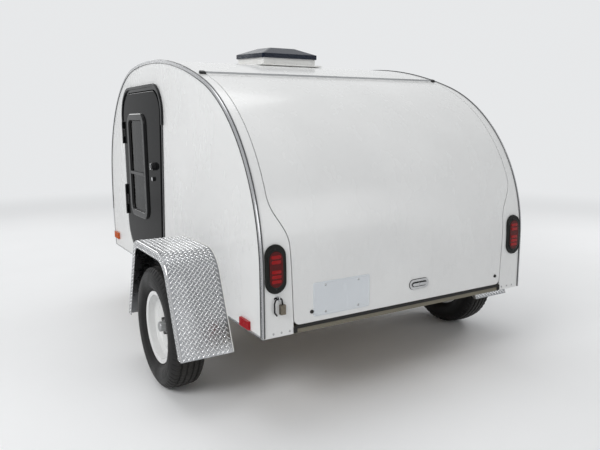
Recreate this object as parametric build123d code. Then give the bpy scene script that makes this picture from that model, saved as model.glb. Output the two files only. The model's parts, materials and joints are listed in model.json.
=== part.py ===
from build123d import *
from math import acos, asin, cos, degrees, radians, sin, sqrt, tan
import os

# Teardrop camping trailer, in millimetres. X runs forward, Y to the trailer's left, Z up from the
# ground. Stations along X start at the body's rear face. The last step moves every piece along X so
# that the origin lies on the ground under the middle of the whole outline.

# Body shell
BODY_LENGTH = 2400.0
BODY_HEIGHT = 1246.0
BODY_WIDTH = 1575.0
BODY_BOTTOM = 410.0
WALL = 25.0
SKIN = 16.0
ROOF = 33.0
HALF = BODY_WIDTH / 2
INNER = HALF - WALL

# Side line: four tangent arcs from the upright rear to the tucked nose. A slope is the tangent's
# angle above the horizontal, in degrees, looking forward.
REAR_RADIUS = 870.0
REAR_END_SLOPE = 20.0
ROOF_END_SLOPE = -6.0
BROW_RADIUS = 790.0
BROW_END_SLOPE = -83.0
NOSE_RADIUS = 2000.0

# Rear hatch, narrower than the body by a strip on each side
HATCH_GAP = 5.0
HATCH_THICK = ROOF - HATCH_GAP
STRIP_TOP = 60.5
STRIP_LOW = 139.5
STRIP_FOOT = 153.5
HATCH_HALF_TOP = HALF - STRIP_TOP
HATCH_HALF_LOW = HALF - STRIP_LOW
HATCH_HALF_FOOT = HALF - STRIP_FOOT
HATCH_STEP_TOP = 560.0
HATCH_STEP_LOW = 425.0
HATCH_STEP_RADIUS = 170.0
HATCH_FOOT_RADIUS = 28.0
HATCH_FOOT = 36.0
POCKET_DEPTH = 8.0
POCKET_BORDER = 55.0
POCKET_COLUMNS = 3
POCKET_RIB = 60.0
POCKET_RADIUS = 30.0
POCKET_ROWS = ((90.0, 470.0), (530.0, 850.0))
HINGE_STATION = 674.0
HINGE_END = 33.5
HINGE_HALF = HALF - HINGE_END
HINGE_RAIL = 18.0
HINGE_RISE = 6.0
HINGE_GAUGE = 2.0
HINGE_CLEAR = 0.3
HINGE_ROOF_EDGE = 12.0
HINGE_HATCH_EDGE = 8.0
SEAL_WIDTH = 34.0
SEAL_THICK = 8.0

# Floor and galley
DECK_THICK = 27.0
PANEL = 18.0
BULKHEAD_AHEAD = 27.0
BULKHEAD_STATION = HINGE_STATION + BULKHEAD_AHEAD
COUNTER_HEIGHT = 450.0
COUNTER_GAP = 12.4
CABINET_SETBACK = 45.0

# Chassis
RAIL_TALL = 76.0
RAIL_WIDE = 51.0
RAIL_SETBACK = 100.0
RAIL_HALF = HALF - RAIL_SETBACK
RAIL_REAR = 215.0
RAIL_NOSE_GAP = 70.0
TONGUE_WIDE = 64.0
TONGUE_REAR = 1180.0
TONGUE_AHEAD = 800.0
TUBE_WALL = 4.0
COUPLER_BALL = 50.8
COUPLER_CLEAR = 0.5
COUPLER_WALL = 6.0
COUPLER_SLEEVE = 170.0
COUPLER_REACH = 90.0

# Parking jack
JACK_AHEAD = 530.0
JACK_STATION = BODY_LENGTH + JACK_AHEAD
JACK_TUBE = 57.0
JACK_WALL = 5.0
JACK_LEG = 45.0
JACK_BASE = 262.0
JACK_TOP = 745.0
JACK_TRAVEL = 200.0
JACK_PAD_LENGTH = 150.0
JACK_PAD_WIDTH = 130.0
JACK_PAD_THICK = 8.0

# Wheels and axle
WHEEL_STATION = 690.0
TYRE_RADIUS = 305.0
TYRE_WIDTH = 177.0
TREAD_WIDTH = 128.0
TYRE_WALL = 9.0
RIM_SEAT_RADIUS = 165.0
RIM_FLANGE = 16.0
RIM_FLANGE_RADIUS = RIM_SEAT_RADIUS + RIM_FLANGE
RIM_HALF_WIDTH = 63.0
RIM_GAUGE = 3.2
LUG_COUNT = 5
LUG_CIRCLE = 57.15
LUG_NUT = 19.0
HUB_RADIUS = 36.0
HUB_BORE_GAP = 4.0
HUB_FLANGE = 72.0
HUB_NOSE = 26.0
CAP_RADIUS = 25.5
CAP_LENGTH = 30.0
CAP_EASE = 6.0
SPINDLE_RADIUS = 15.0
SPINDLE_CLEAR = 0.08
AXLE_TUBE = 60.0
ARM_REACH = 150.0
ARM_THICK = 20.0
ARM_OUT = 54.5
ARM_PLANE = HALF + ARM_OUT
TYRE_GAP = 16.5
WHEEL_HALF_TRACK = ARM_PLANE + ARM_THICK / 2 + TYRE_GAP + TYRE_WIDTH / 2

# Fenders, over the tyre by a rise above it and by reaches past its front and rear
FENDER_SHEET = 2.5
FENDER_RISE = 101.0
FENDER_REAR_TUCK = 87.0
FENDER_FRONT_TUCK = 43.0
FENDER_REAR_REACH = 93.0
FENDER_FRONT_REACH = 134.0
FENDER_FOOT = 150.0
FENDER_WALL_GAP = 0.3
FENDER_TUCK = 1.5
FENDER_OUT = WHEEL_HALF_TRACK + TYRE_WIDTH / 2 - FENDER_TUCK
FENDER_TOP = 2 * TYRE_RADIUS + FENDER_RISE
FENDER_REAR_BEND = 150.0
FENDER_FRONT_BEND = 90.0
FENDER_LIP = 38.0
FENDER_FLANGE = 24.0

# Doors
DOOR_SETBACK = 420.0
DOOR_WIDTH = 827.0
DOOR_LEAN = 85.0
DOOR_HEAD = 136.0
DOOR_FOOT = 55.0
DOOR_FRONT = BODY_LENGTH - DOOR_SETBACK
DOOR_REAR = DOOR_FRONT - DOOR_WIDTH
DOOR_TOP = BODY_HEIGHT - DOOR_HEAD
DOOR_REAR_RADIUS = 160.0
DOOR_TOP_RADIUS = 190.0
DOOR_FOOT_RADIUS = 200.0
JAMB_FACE = 26.0
JAMB_PROUD = 4.0
JAMB_EASE = 2.0
JAMB_SLEEVE_INSET = 12.0
JAMB_SLEEVE = 6.0
JAMB_LIP = 3.0
JAMB_STOP = 20.0
DOOR_GAP = 5.0
DOOR_THICK = 30.0
DOOR_PROUD = 9.0
DOOR_EASE = 5.0
DRIP_OVERHANG = 10.0
DRIP_LIP = 8.0
DRIP_PROUD = 13.0
DRIP_CLEAR = 0.3
DRIP_EASE = 3.0
DRIP_FRONT_DROP = 205.0
DRIP_REAR_DROP = 225.0
WINDOW_FRONT_STILE = 140.0
WINDOW_REAR_STILE = 324.0
WINDOW_HEAD = 157.0
WINDOW_SILL = 247.0
WINDOW_FRONT = DOOR_FRONT - WINDOW_FRONT_STILE
WINDOW_REAR = DOOR_REAR + WINDOW_REAR_STILE
WINDOW_TOP = DOOR_TOP - WINDOW_HEAD
WINDOW_FOOT = DOOR_FOOT + WINDOW_SILL
WINDOW_RADIUS = 75.0
WINDOW_FRAME = 40.0
WINDOW_PROUD = 12.0
WINDOW_EASE = 7.0
WINDOW_LAP = 6.0
WINDOW_BAR = 280.0
WINDOW_BAR_TALL = 18.0
GLASS = 4.0
KNUCKLE_RADIUS = 7.0
KNUCKLE_GAP = 0.5
KNUCKLE_LEAF = 4.0
HINGE_LOW = 335.0
HINGE_LOW_TALL = 200.0
HINGE_HIGH = 277.0
HINGE_HIGH_TALL = 143.0
LATCH_IN = 180.0
LATCH_UP = 590.0
LATCH_RADIUS = 24.0
LOCK_IN = 205.0
LOCK_UP = 514.0
LOCK_RADIUS = 13.0

# Roof vent
VENT_STATION = 1293.0
VENT_OPENING = 356.0
VENT_WALL = 8.0
VENT_HEIGHT = 58.0
VENT_FLANGE = 30.0
LID_OVERHANG = 11.0
VENT_LID = VENT_OPENING + 2 * LID_OVERHANG
LID_SKIRT = 26.0
LID_CROWN = 38.0
LID_PLATEAU_EDGE = 100.0
LID_CORNER = 14.0
LID_WALL = 3.0
LID_PIN_AHEAD = 8.0
LID_PIN_RADIUS = 5.0

# Lights and rear fittings
LIGHT_SETBACK = 63.5
LIGHT_HALF = HALF - LIGHT_SETBACK
LIGHT_HEIGHT = 296.0
LIGHT_REACH = 200.0
LENS_LONG = 152.0
LENS_WIDE = 63.0
LENS_PROUD = 12.0
LENS_DEPTH = 5.0
GROMMET_FLANGE = 17.5
GROMMET_ENDS = 10.0
GROMMET_PROUD = 8.0
GROMMET_BODY = 8.0
MARKER_PROUD = 12.0
REAR_MARKER = (114.0, 205.0, 10.0, 48.0)
FRONT_MARKER = (34.0, 138.0, 58.0, 104.0)
PLATE_LONG = 305.0
PLATE_TALL = 152.0
PLATE_SETBACK = 262.0
PLATE_Y = HATCH_HALF_LOW - PLATE_SETBACK
PLATE_HEIGHT = 134.0
HANDLE_Y = -67.0
HANDLE_HEIGHT = 120.0
PADLOCK_SETBACK = 72.5
PADLOCK_HALF = HALF - PADLOCK_SETBACK
PADLOCK_HEIGHT = 169.0
TRIM_LEG = 14.0
TRIM_GAUGE = 2.0
TRIM_RETURN = 7.0

# Gas struts
STRUT_WALL_GAP = 62.5
STRUT_HALF = INNER - STRUT_WALL_GAP
STRUT_FOOT_STATION = 450.0
STRUT_FOOT_RISE = 50.0
STRUT_HEAD_STATION = 570.0
STRUT_HEAD_DROP = 41.5
STRUT_TUBE = 9.0
STRUT_ROD = 4.0
STRUT_ROD_OUT = 176.0
STRUT_CLEAR = 0.1
STUD_RADIUS = 5.0

nodes = {}


def sine(angle):
    return sin(radians(angle))


def cosine(angle):
    return cos(radians(angle))


# The roof arc's radius and the upright's height follow from the body's length and height.
ROOF_RADIUS = (
    BODY_LENGTH
    - REAR_RADIUS * (1 - sine(REAR_END_SLOPE))
    - BROW_RADIUS * (sine(ROOF_END_SLOPE) - sine(BROW_END_SLOPE))
    - NOSE_RADIUS * (1 + sine(BROW_END_SLOPE))
) / (sine(REAR_END_SLOPE) - sine(ROOF_END_SLOPE))
REAR_STRAIGHT = (
    BODY_HEIGHT
    - REAR_RADIUS * cosine(REAR_END_SLOPE)
    - ROOF_RADIUS * (1 - cosine(REAR_END_SLOPE))
)


def side_arcs():
    """The side line's arcs as (centre x, centre z, radius, slope at start, slope at end)."""
    table = []
    x, z, slope = 0.0, BODY_BOTTOM + REAR_STRAIGHT, 90.0
    for radius, end in (
        (REAR_RADIUS, REAR_END_SLOPE),
        (ROOF_RADIUS, ROOF_END_SLOPE),
        (BROW_RADIUS, BROW_END_SLOPE),
        (NOSE_RADIUS, None),
    ):
        cx = x + radius * sine(slope)
        cz = z - radius * cosine(slope)
        if end is None:
            end = -degrees(acos((BODY_BOTTOM - cz) / radius))
        table.append((cx, cz, radius, slope, end))
        x = cx - radius * sine(end)
        z = cz + radius * cosine(end)
        slope = end
    return table


ARCS = side_arcs()


def at_station(station, inset=0.0):
    """Point and slope of the side line at a station behind the brow."""
    for cx, cz, radius, start, end in ARCS:
        slope = degrees(asin(max(-1.0, min(1.0, (cx - station) / radius))))
        if end <= slope <= start:
            reach = radius - inset
            return cx - reach * sine(slope), cz + reach * cosine(slope), slope
    raise ValueError("station is off the body")


def rear_face(height, inset=0.0):
    """Station of the rear surface at a height above the body's bottom edge."""
    cx, cz, radius = ARCS[0][:3]
    rise = BODY_BOTTOM + height - cz
    if rise <= 0:
        return inset
    return cx - sqrt((radius - inset) ** 2 - rise**2)


def outline(inset=0.0):
    """Side view of the body, moved in by inset and closed along its bottom edge."""
    low = (inset, BODY_BOTTOM)
    edges = [Line(low, (inset, BODY_BOTTOM + REAR_STRAIGHT))]
    for number, (cx, cz, radius, start, end) in enumerate(ARCS):
        reach = radius - inset
        if number == len(ARCS) - 1:
            end = -degrees(acos((BODY_BOTTOM - cz) / reach))
        spots = [
            (cx - reach * sine(slope), cz + reach * cosine(slope))
            for slope in (start, (start + end) / 2, end)
        ]
        edges.append(ThreePointArc(*spots))
    edges.append(Line(edges[-1] @ 1, low))
    return make_face(edges)


def rounded(corners):
    """Closed face through (x, y, radius) corners, each rounded by its own radius."""
    points = [Vector(x, y) for x, y, _ in corners]
    bends = []
    for index, (point, (_, _, radius)) in enumerate(zip(points, corners)):
        back = (points[index - 1] - point).normalized()
        ahead = (points[(index + 1) % len(points)] - point).normalized()
        half = radians(back.get_angle(ahead)) / 2
        bends.append((
            point + back * (radius / tan(half)),
            point + (back + ahead).normalized() * (radius / sin(half) - radius),
            point + ahead * (radius / tan(half)),
            radius,
        ))
    edges = []
    for index, (first, middle, last, radius) in enumerate(bends):
        if radius > 0:
            edges.append(ThreePointArc(first, middle, last))
        follow = bends[(index + 1) % len(bends)][0]
        if (follow - last).length > 1e-6:
            edges.append(Line(last, follow))
    return make_face(edges)


def across(face, low, high):
    """Extrude a side-view face from one Y to another."""
    return extrude(Plane.XZ.offset(-high) * face, amount=high - low)


def along(face, low, high):
    """Extrude a rear-view face from one station to another."""
    return extrude(Plane.YZ.offset(low) * face, amount=high - low)


def block(x0, x1, y0, y1, z0, z1):
    return Pos((x0 + x1) / 2, (y0 + y1) / 2, (z0 + z1) / 2) * Box(x1 - x0, y1 - y0, z1 - z0)


def skin_layer(outer, inner, low, high):
    """The part of the curved shell between two depths, from one Y to another."""
    return across(outline(outer) - outline(inner), low, high)


def behind(station):
    """Everything behind a cut square to the roof at a station."""
    x, z, slope = at_station(station)
    out = Vector(-sine(slope), cosine(slope))
    high = Vector(x, z) + out * 300
    low = Vector(x, z) - out * 300
    corners = [(high.X, high.Y, 0), (-400, high.Y, 0), (-400, 0, 0), (low.X, 0, 0), (low.X, low.Y, 0)]
    return across(rounded(corners), -HALF - 60, HALF + 60)


def mirrored(piece):
    return mirror(piece, about=Plane.XZ)


def eased(piece, radius):
    """Round the edges of a side piece's outermost face."""
    return fillet(piece.faces().sort_by(Axis.Y)[-1].edges(), radius)


def rod(start, end, radius):
    """Round bar between two points."""
    run = Vector(*end) - Vector(*start)
    return Plane(origin=start, z_dir=run) * Cylinder(
        radius, run.length, align=(Align.CENTER, Align.CENTER, Align.MIN)
    )


# Body: side walls, floor, roof, rear corners
def door_outline(inset=0.0):
    face = rounded([
        (DOOR_REAR + DOOR_LEAN, BODY_BOTTOM + DOOR_FOOT, DOOR_REAR_RADIUS),
        (DOOR_REAR, BODY_BOTTOM + DOOR_TOP, DOOR_REAR_RADIUS),
        (DOOR_FRONT, BODY_BOTTOM + DOOR_TOP, DOOR_TOP_RADIUS),
        (DOOR_FRONT, BODY_BOTTOM + DOOR_FOOT, DOOR_FOOT_RADIUS),
    ])
    return offset(face, -inset) if inset else face


side_wall = across(outline(SKIN), INNER, HALF)
side_wall -= across(door_outline(JAMB_SLEEVE_INSET), INNER - 1, HALF + 1)
nodes["side_wall_left"] = side_wall
nodes["side_wall_right"] = mirrored(side_wall)

deck_top = BODY_BOTTOM + DECK_THICK
deck = across(outline(ROOF), -INNER, INNER)
deck &= block(0, BODY_LENGTH, -HALF, HALF, BODY_BOTTOM, deck_top)
nodes["floor_deck"] = deck

shell = skin_layer(0, SKIN, -HALF, HALF) + skin_layer(SKIN, ROOF, -INNER, INNER)


def hatch_outline(gap=0.0):
    """Rear view of the hatch: wide at the roof, stepped in above the lights, square at the foot."""
    right = [
        (HATCH_HALF_TOP, BODY_HEIGHT + 60, 0),
        (HATCH_HALF_TOP, HATCH_STEP_TOP, HATCH_STEP_RADIUS),
        (HATCH_HALF_LOW, HATCH_STEP_LOW, HATCH_STEP_RADIUS),
        (HATCH_HALF_FOOT, HATCH_FOOT, HATCH_FOOT_RADIUS),
    ]
    left = [(-y, z, radius) for y, z, radius in reversed(right)]
    face = rounded([(y, BODY_BOTTOM + z, radius) for y, z, radius in right + left])
    return offset(face, gap) if gap else face


opening_half = HATCH_HALF_FOOT + HATCH_GAP
opening = along(hatch_outline(HATCH_GAP), -60, BODY_LENGTH / 2)
opening += block(
    -60, BODY_LENGTH / 2, -opening_half, opening_half, BODY_BOTTOM - 10, BODY_BOTTOM + HATCH_FOOT + 60
)
roof_end = HINGE_STATION + HINGE_ROOF_EDGE
hatch_end = HINGE_STATION - HINGE_HATCH_EDGE

vent_x, vent_z, vent_slope = at_station(VENT_STATION)
vent_place = Pos(vent_x, 0, vent_z) * Rot(0, -vent_slope, 0)
vent_hole = vent_place * Box(VENT_OPENING, VENT_OPENING, 4 * ROOF)
nodes["roof_shell"] = shell - behind(roof_end) - vent_hole


def light_prism(margin, side, outer, inner, ends=0.0):
    """Oval prism at a tail light, a margin wider than the lens, between two depths of the skin."""
    oval = SlotOverall(LENS_LONG + 2 * (margin + ends), LENS_WIDE + 2 * margin)
    oval = Pos(side * LIGHT_HALF, BODY_BOTTOM + LIGHT_HEIGHT) * Rot(0, 0, 90) * oval
    return along(oval, -60, LIGHT_REACH) & skin_layer(outer, inner, -HALF - 60, HALF + 60)


corners = (shell & behind(roof_end)) - opening
for side in (1, -1):
    corners -= light_prism(GROMMET_BODY, side, -1, SKIN)
corner_pieces = {1: [], -1: []}
for piece in corners.solids():
    corner_pieces[1 if piece.center().Y > 0 else -1].append(piece)
nodes["rear_corner_left"] = Compound(corner_pieces[1])
nodes["rear_corner_right"] = Compound(corner_pieces[-1])

sill_top = BODY_BOTTOM + HATCH_FOOT - HATCH_GAP
sill = block(0, ROOF, -opening_half, opening_half, BODY_BOTTOM, sill_top)
nodes["rear_sill"] = sill

seal_out = offset(hatch_outline(HATCH_GAP), 16)
seal_in = offset(hatch_outline(HATCH_GAP), 16 - SEAL_WIDTH)
seal = skin_layer(ROOF, ROOF + SEAL_THICK, -INNER, INNER) & behind(hatch_end)
seal &= along(seal_out - seal_in, -60, BODY_LENGTH / 2)
seal &= block(0, BODY_LENGTH, -HALF, HALF, deck_top, 2 * BODY_HEIGHT)
nodes["hatch_seal"] = seal


# Galley behind the hatch
bulkhead = across(outline(ROOF), -INNER, INNER)
bulkhead &= block(BULKHEAD_STATION, BULKHEAD_STATION + PANEL, -HALF, HALF, deck_top, 2 * BODY_HEIGHT)
nodes["galley_bulkhead"] = bulkhead
counter_z = BODY_BOTTOM + COUNTER_HEIGHT
counter_x = rear_face(COUNTER_HEIGHT + PANEL, ROOF + SEAL_THICK) + COUNTER_GAP
cabinet_x = counter_x + CABINET_SETBACK
counter = block(counter_x, BULKHEAD_STATION, -INNER, INNER, counter_z, counter_z + PANEL)
counter += block(cabinet_x, cabinet_x + PANEL, -INNER, INNER, deck_top, counter_z)
nodes["galley_counter"] = counter


# Hatch with its hinge, handle, hasp and plate
hatch = skin_layer(0, HATCH_THICK, -HALF, HALF) & behind(hatch_end)
hatch &= along(hatch_outline(), -60, BODY_LENGTH / 2)
pocket_half = HATCH_HALF_LOW - POCKET_BORDER
pocket_wide = (2 * pocket_half - (POCKET_COLUMNS - 1) * POCKET_RIB) / POCKET_COLUMNS
pockets = []
for low, high in POCKET_ROWS:
    for column in range(POCKET_COLUMNS):
        middle = -pocket_half + pocket_wide / 2 + column * (pocket_wide + POCKET_RIB)
        pocket = RectangleRounded(pocket_wide, high - low, POCKET_RADIUS)
        pockets.append(Pos(middle, BODY_BOTTOM + (low + high) / 2) * pocket)
pocket_layer = skin_layer(HATCH_THICK - POCKET_DEPTH, HATCH_THICK + 1, -HALF, HALF)
for pocket in pockets:
    hatch -= along(pocket, -60, HINGE_STATION) & pocket_layer
nodes["hatch"] = hatch

hinge_x, hinge_z, hinge_slope = at_station(HINGE_STATION)
hinge_frame = Pos(hinge_x, 0, hinge_z) * Rot(0, -hinge_slope, 0)
HINGE_AXIS_X = hinge_x - HINGE_RISE * sine(hinge_slope)
HINGE_AXIS_Z = hinge_z + HINGE_RISE * cosine(hinge_slope)
cover = Pos(0, 0, HINGE_RISE) * Rot(90, 0, 0) * Cylinder(HINGE_RISE, 2 * HINGE_HALF)
cover -= Pos(0, 0, HINGE_RISE) * Rot(90, 0, 0) * Cylinder(HINGE_RISE - HINGE_GAUGE, 2 * HINGE_HALF + 2)
cover &= Pos(HINGE_RISE, 0, HINGE_RISE) * Box(2 * HINGE_RISE, 2 * HINGE_HALF, 2 * HINGE_RISE)
rail = Pos(HINGE_RAIL / 2 + 3, 0, HINGE_GAUGE / 2) * Box(HINGE_RAIL, 2 * HINGE_HALF, HINGE_GAUGE)
nodes["hinge_rail"] = hinge_frame * (cover + rail)
barrel_radius = HINGE_RISE - HINGE_GAUGE - HINGE_CLEAR
barrel = Pos(0, 0, HINGE_RISE) * Rot(90, 0, 0) * Cylinder(barrel_radius, 2 * HATCH_HALF_TOP)
strap = Pos(-HINGE_RAIL / 2 - 3, 0, HINGE_GAUGE / 2) * Box(HINGE_RAIL, 2 * HATCH_HALF_TOP, HINGE_GAUGE)
web = Pos(-4, 0, HINGE_RISE / 2) * Box(4, 2 * HATCH_HALF_TOP, HINGE_RISE)
nodes["hinge_leaf"] = hinge_frame * (barrel + strap + web)

handle_z = BODY_BOTTOM + HANDLE_HEIGHT
face_x = rear_face(HANDLE_HEIGHT)
bezel = along(Pos(HANDLE_Y, handle_z) * SlotOverall(119, 48), face_x - 5, face_x)
bezel -= along(Pos(HANDLE_Y, handle_z) * SlotOverall(95, 26), face_x - 6, face_x - 2)
grip = along(Pos(HANDLE_Y, handle_z) * SlotOverall(90, 14), face_x - 12, face_x - 5)
stem = along(Pos(HANDLE_Y, handle_z) * Circle(8), face_x - 5, face_x - 2)
nodes["hatch_handle"] = bezel + grip + stem

plate = Pos(PLATE_Y, BODY_BOTTOM + PLATE_HEIGHT) * RectangleRounded(PLATE_LONG, PLATE_TALL, 8)
nodes["licence_plate"] = along(plate, -2, 0)

lock_z = BODY_BOTTOM + PADLOCK_HEIGHT
staple = along(Pos(PADLOCK_HALF, lock_z) * SlotOverall(36, 18), -2, 0)
staple += Pos(-10, PADLOCK_HALF, lock_z) * Rot(90, 0, 0) * Torus(8.5, 2)
staple &= block(-30, 0, PADLOCK_HALF - 40, PADLOCK_HALF + 40, lock_z - 40, lock_z + 40)
nodes["lock_staple"] = staple
hook_path = Plane.YZ.offset(-10) * FilletPolyline(
    (PADLOCK_HALF - 19, lock_z - 30),
    (PADLOCK_HALF - 15, lock_z),
    (PADLOCK_HALF + 13, lock_z),
    (PADLOCK_HALF + 20, lock_z - 19),
    (PADLOCK_HALF + 20, lock_z - 57),
    (PADLOCK_HALF + 9, lock_z - 72),
    radius=[9, 9, 9, 9],
)
shackle = sweep(Plane(origin=hook_path @ 0, z_dir=hook_path % 0) * Circle(3.5), path=hook_path)
lock_body = block(-17, -0.3, PADLOCK_HALF - 31, PADLOCK_HALF - 7, lock_z - 70, lock_z - 28)
nodes["padlock"] = lock_body + shackle


# Edge trim along both sides of the shell
trim = across(outline(-TRIM_GAUGE) - outline(TRIM_LEG), HALF, HALF + TRIM_GAUGE)
trim += across(outline(-TRIM_GAUGE) - outline(0), HALF - TRIM_RETURN, HALF)
nodes["edge_trim_left"] = trim
nodes["edge_trim_right"] = mirrored(trim)


# Doors
def window_outline(inset=0.0):
    face = rounded([
        (WINDOW_REAR, BODY_BOTTOM + WINDOW_FOOT, WINDOW_RADIUS),
        (WINDOW_REAR, BODY_BOTTOM + WINDOW_TOP, WINDOW_RADIUS),
        (WINDOW_FRONT, BODY_BOTTOM + WINDOW_TOP, WINDOW_RADIUS),
        (WINDOW_FRONT, BODY_BOTTOM + WINDOW_FOOT, WINDOW_RADIUS),
    ])
    return offset(face, -inset) if inset else face


jamb_out = HALF + JAMB_PROUD
jamb = eased(across(door_outline() - door_outline(JAMB_FACE), HALF, jamb_out), JAMB_EASE)
jamb += across(
    door_outline(JAMB_SLEEVE_INSET) - door_outline(JAMB_SLEEVE_INSET + JAMB_SLEEVE), INNER - JAMB_LIP, HALF
)
jamb += across(
    door_outline(0) - door_outline(JAMB_FACE + JAMB_STOP), INNER - 2 * JAMB_LIP, INNER - JAMB_LIP
)
jamb -= across(door_outline(0) - door_outline(JAMB_SLEEVE_INSET), INNER - JAMB_LIP, INNER)

# Drip cap over the door's upper half, lying on the jamb and hanging past it
door_middle = (DOOR_REAR + DOOR_FRONT) / 2
door_top = BODY_BOTTOM + DOOR_TOP
upper = block(
    DOOR_REAR - 100, door_middle, INNER, HALF + 100, door_top - DRIP_REAR_DROP, door_top + 100
)
upper += block(
    door_middle, DOOR_FRONT + 100, INNER, HALF + 100, door_top - DRIP_FRONT_DROP, door_top + 100
)
drip = across(door_outline(-DRIP_OVERHANG) - door_outline(DRIP_LIP), jamb_out, HALF + DRIP_PROUD)
drip += across(door_outline(-DRIP_OVERHANG) - door_outline(-DRIP_CLEAR), HALF, jamb_out)
drip = eased(drip, DRIP_EASE) & upper
nodes["drip_cap_left"] = drip
nodes["drip_cap_right"] = mirrored(drip)

leaf_inset = JAMB_FACE + DOOR_GAP
leaf_out = HALF + DOOR_PROUD
leaf_in = leaf_out - DOOR_THICK
knuckle_x = DOOR_FRONT - leaf_inset + DOOR_GAP / 2
knuckle_y = leaf_out + KNUCKLE_RADIUS + 0.5

leaf = eased(across(door_outline(leaf_inset), leaf_in, leaf_out), DOOR_EASE)
leaf -= across(window_outline(WINDOW_FRAME - WINDOW_LAP), leaf_in - 1, leaf_out + 1)
window_ring = window_outline() - window_outline(WINDOW_FRAME)
window = eased(across(window_ring, leaf_out, leaf_out + WINDOW_PROUD), WINDOW_EASE)
bar_z = BODY_BOTTOM + WINDOW_FOOT + WINDOW_BAR
bar = block(
    WINDOW_REAR + WINDOW_FRAME, WINDOW_FRONT - WINDOW_FRAME, leaf_out, leaf_out + WINDOW_PROUD,
    bar_z - WINDOW_BAR_TALL / 2, bar_z + WINDOW_BAR_TALL / 2,
)
glass = across(window_outline(WINDOW_FRAME - WINDOW_LAP), leaf_out - GLASS, leaf_out)

fittings = []
for height, tall in (
    (DOOR_FOOT + HINGE_LOW, HINGE_LOW_TALL),
    (DOOR_TOP - HINGE_HIGH, HINGE_HIGH_TALL),
):
    third = tall / 3
    z = BODY_BOTTOM + height
    low, high = z - third / 2 + KNUCKLE_GAP, z + third / 2 - KNUCKLE_GAP
    middle = Pos(knuckle_x, knuckle_y, z) * Cylinder(KNUCKLE_RADIUS, high - low)
    middle += block(knuckle_x - 34, knuckle_x, leaf_out, leaf_out + KNUCKLE_LEAF, low, high)
    middle += block(knuckle_x - 10, knuckle_x, leaf_out, knuckle_y, low, high)
    fittings.append(middle)
    for end in (-1, 1):
        centre = z + end * third
        low, high = centre - third / 2, centre + third / 2
        knuckle = Pos(knuckle_x, knuckle_y, centre) * Cylinder(KNUCKLE_RADIUS, third)
        knuckle += block(knuckle_x, knuckle_x + 10, jamb_out, knuckle_y, low, high)
        knuckle += block(knuckle_x + 4, knuckle_x + 26, jamb_out, jamb_out + KNUCKLE_LEAF, low, high)
        jamb += knuckle
latch_place = Pos(DOOR_REAR + LATCH_IN, leaf_out, BODY_BOTTOM + DOOR_FOOT + LATCH_UP)
latch = latch_place * Pos(0, 8, 0) * Rot(90, 0, 0) * Cylinder(LATCH_RADIUS, 16)
latch += latch_place * Pos(0, 20, 0) * Rot(90, 0, 0) * Cylinder(LATCH_RADIUS - 7, 8)
lock_place = Pos(DOOR_REAR + LOCK_IN, leaf_out, BODY_BOTTOM + DOOR_FOOT + LOCK_UP)
key_lock = lock_place * Pos(0, 5, 0) * Rot(90, 0, 0) * Cylinder(LOCK_RADIUS, 10)
fittings += [latch, key_lock]

for name, piece in (
    ("door_jamb", jamb),
    ("door", leaf),
    ("window_frame", window + bar),
    ("window_glass", glass),
    ("door_fittings", Compound(fittings)),
):
    nodes[name + "_left"] = piece
    nodes[name + "_right"] = mirrored(piece)


# Roof vent
outer = VENT_OPENING
neck = Pos(0, 0, VENT_HEIGHT / 2 - ROOF / 2) * Box(outer, outer, VENT_HEIGHT + ROOF)
neck += Pos(0, 0, 2) * Box(outer + 2 * VENT_FLANGE, outer + 2 * VENT_FLANGE, 4)
neck -= Box(outer - 2 * VENT_WALL, outer - 2 * VENT_WALL, 4 * VENT_HEIGHT)

lid_base = VENT_HEIGHT + DOOR_GAP + LID_WALL - LID_SKIRT
lid_pin = VENT_LID / 2 + LID_PIN_AHEAD
for side in (1, -1):
    neck += Pos(lid_pin, side * 45, lid_base) * Rot(90, 0, 0) * Cylinder(LID_PIN_RADIUS, 30)
    neck += Pos(lid_pin, side * 45, lid_base / 2) * Box(8, 30, lid_base)
nodes["vent_base"] = vent_place * neck


def lid_form(trim_in):
    """Square lid with an upright skirt and a hipped crown, moved in by trim_in all round."""
    size = VENT_LID - 2 * trim_in
    plateau = size - 2 * LID_PLATEAU_EDGE
    corner = LID_CORNER - trim_in
    skirt_top = lid_base + LID_SKIRT - trim_in
    skirt = extrude(Pos(0, 0, lid_base) * RectangleRounded(size, size, corner), amount=skirt_top - lid_base)
    low = Pos(0, 0, skirt_top) * RectangleRounded(size, size, corner)
    high = Pos(0, 0, skirt_top + LID_CROWN) * RectangleRounded(plateau, plateau, LID_CORNER)
    return skirt + loft([low.face(), high.face()])


lid = lid_form(0) - lid_form(LID_WALL)
lid += Pos(lid_pin, 0, lid_base) * Rot(90, 0, 0) * Cylinder(LID_PIN_RADIUS, 59)
lid += Pos(lid_pin - LID_PIN_AHEAD / 2, 0, lid_base + 2.5) * Box(LID_PIN_AHEAD, 59, 5)
nodes["vent_lid"] = vent_place * lid
LID_AXIS = vent_place * Pos(lid_pin, 0, lid_base)


# Chassis, axle, coupler
rail_top = BODY_BOTTOM
rail_low = BODY_BOTTOM - RAIL_TALL
rail_front = BODY_LENGTH - RAIL_NOSE_GAP


def tube(x0, x1, y0, y1):
    """Box tube of the frame's height, open at both ends of its longer side."""
    solid = block(x0, x1, y0, y1, rail_low, rail_top)
    open_x, open_y = (1, -TUBE_WALL) if x1 - x0 > y1 - y0 else (-TUBE_WALL, 1)
    return solid - block(
        x0 - open_x, x1 + open_x, y0 - open_y, y1 + open_y, rail_low + TUBE_WALL, rail_top - TUBE_WALL
    )


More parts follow.
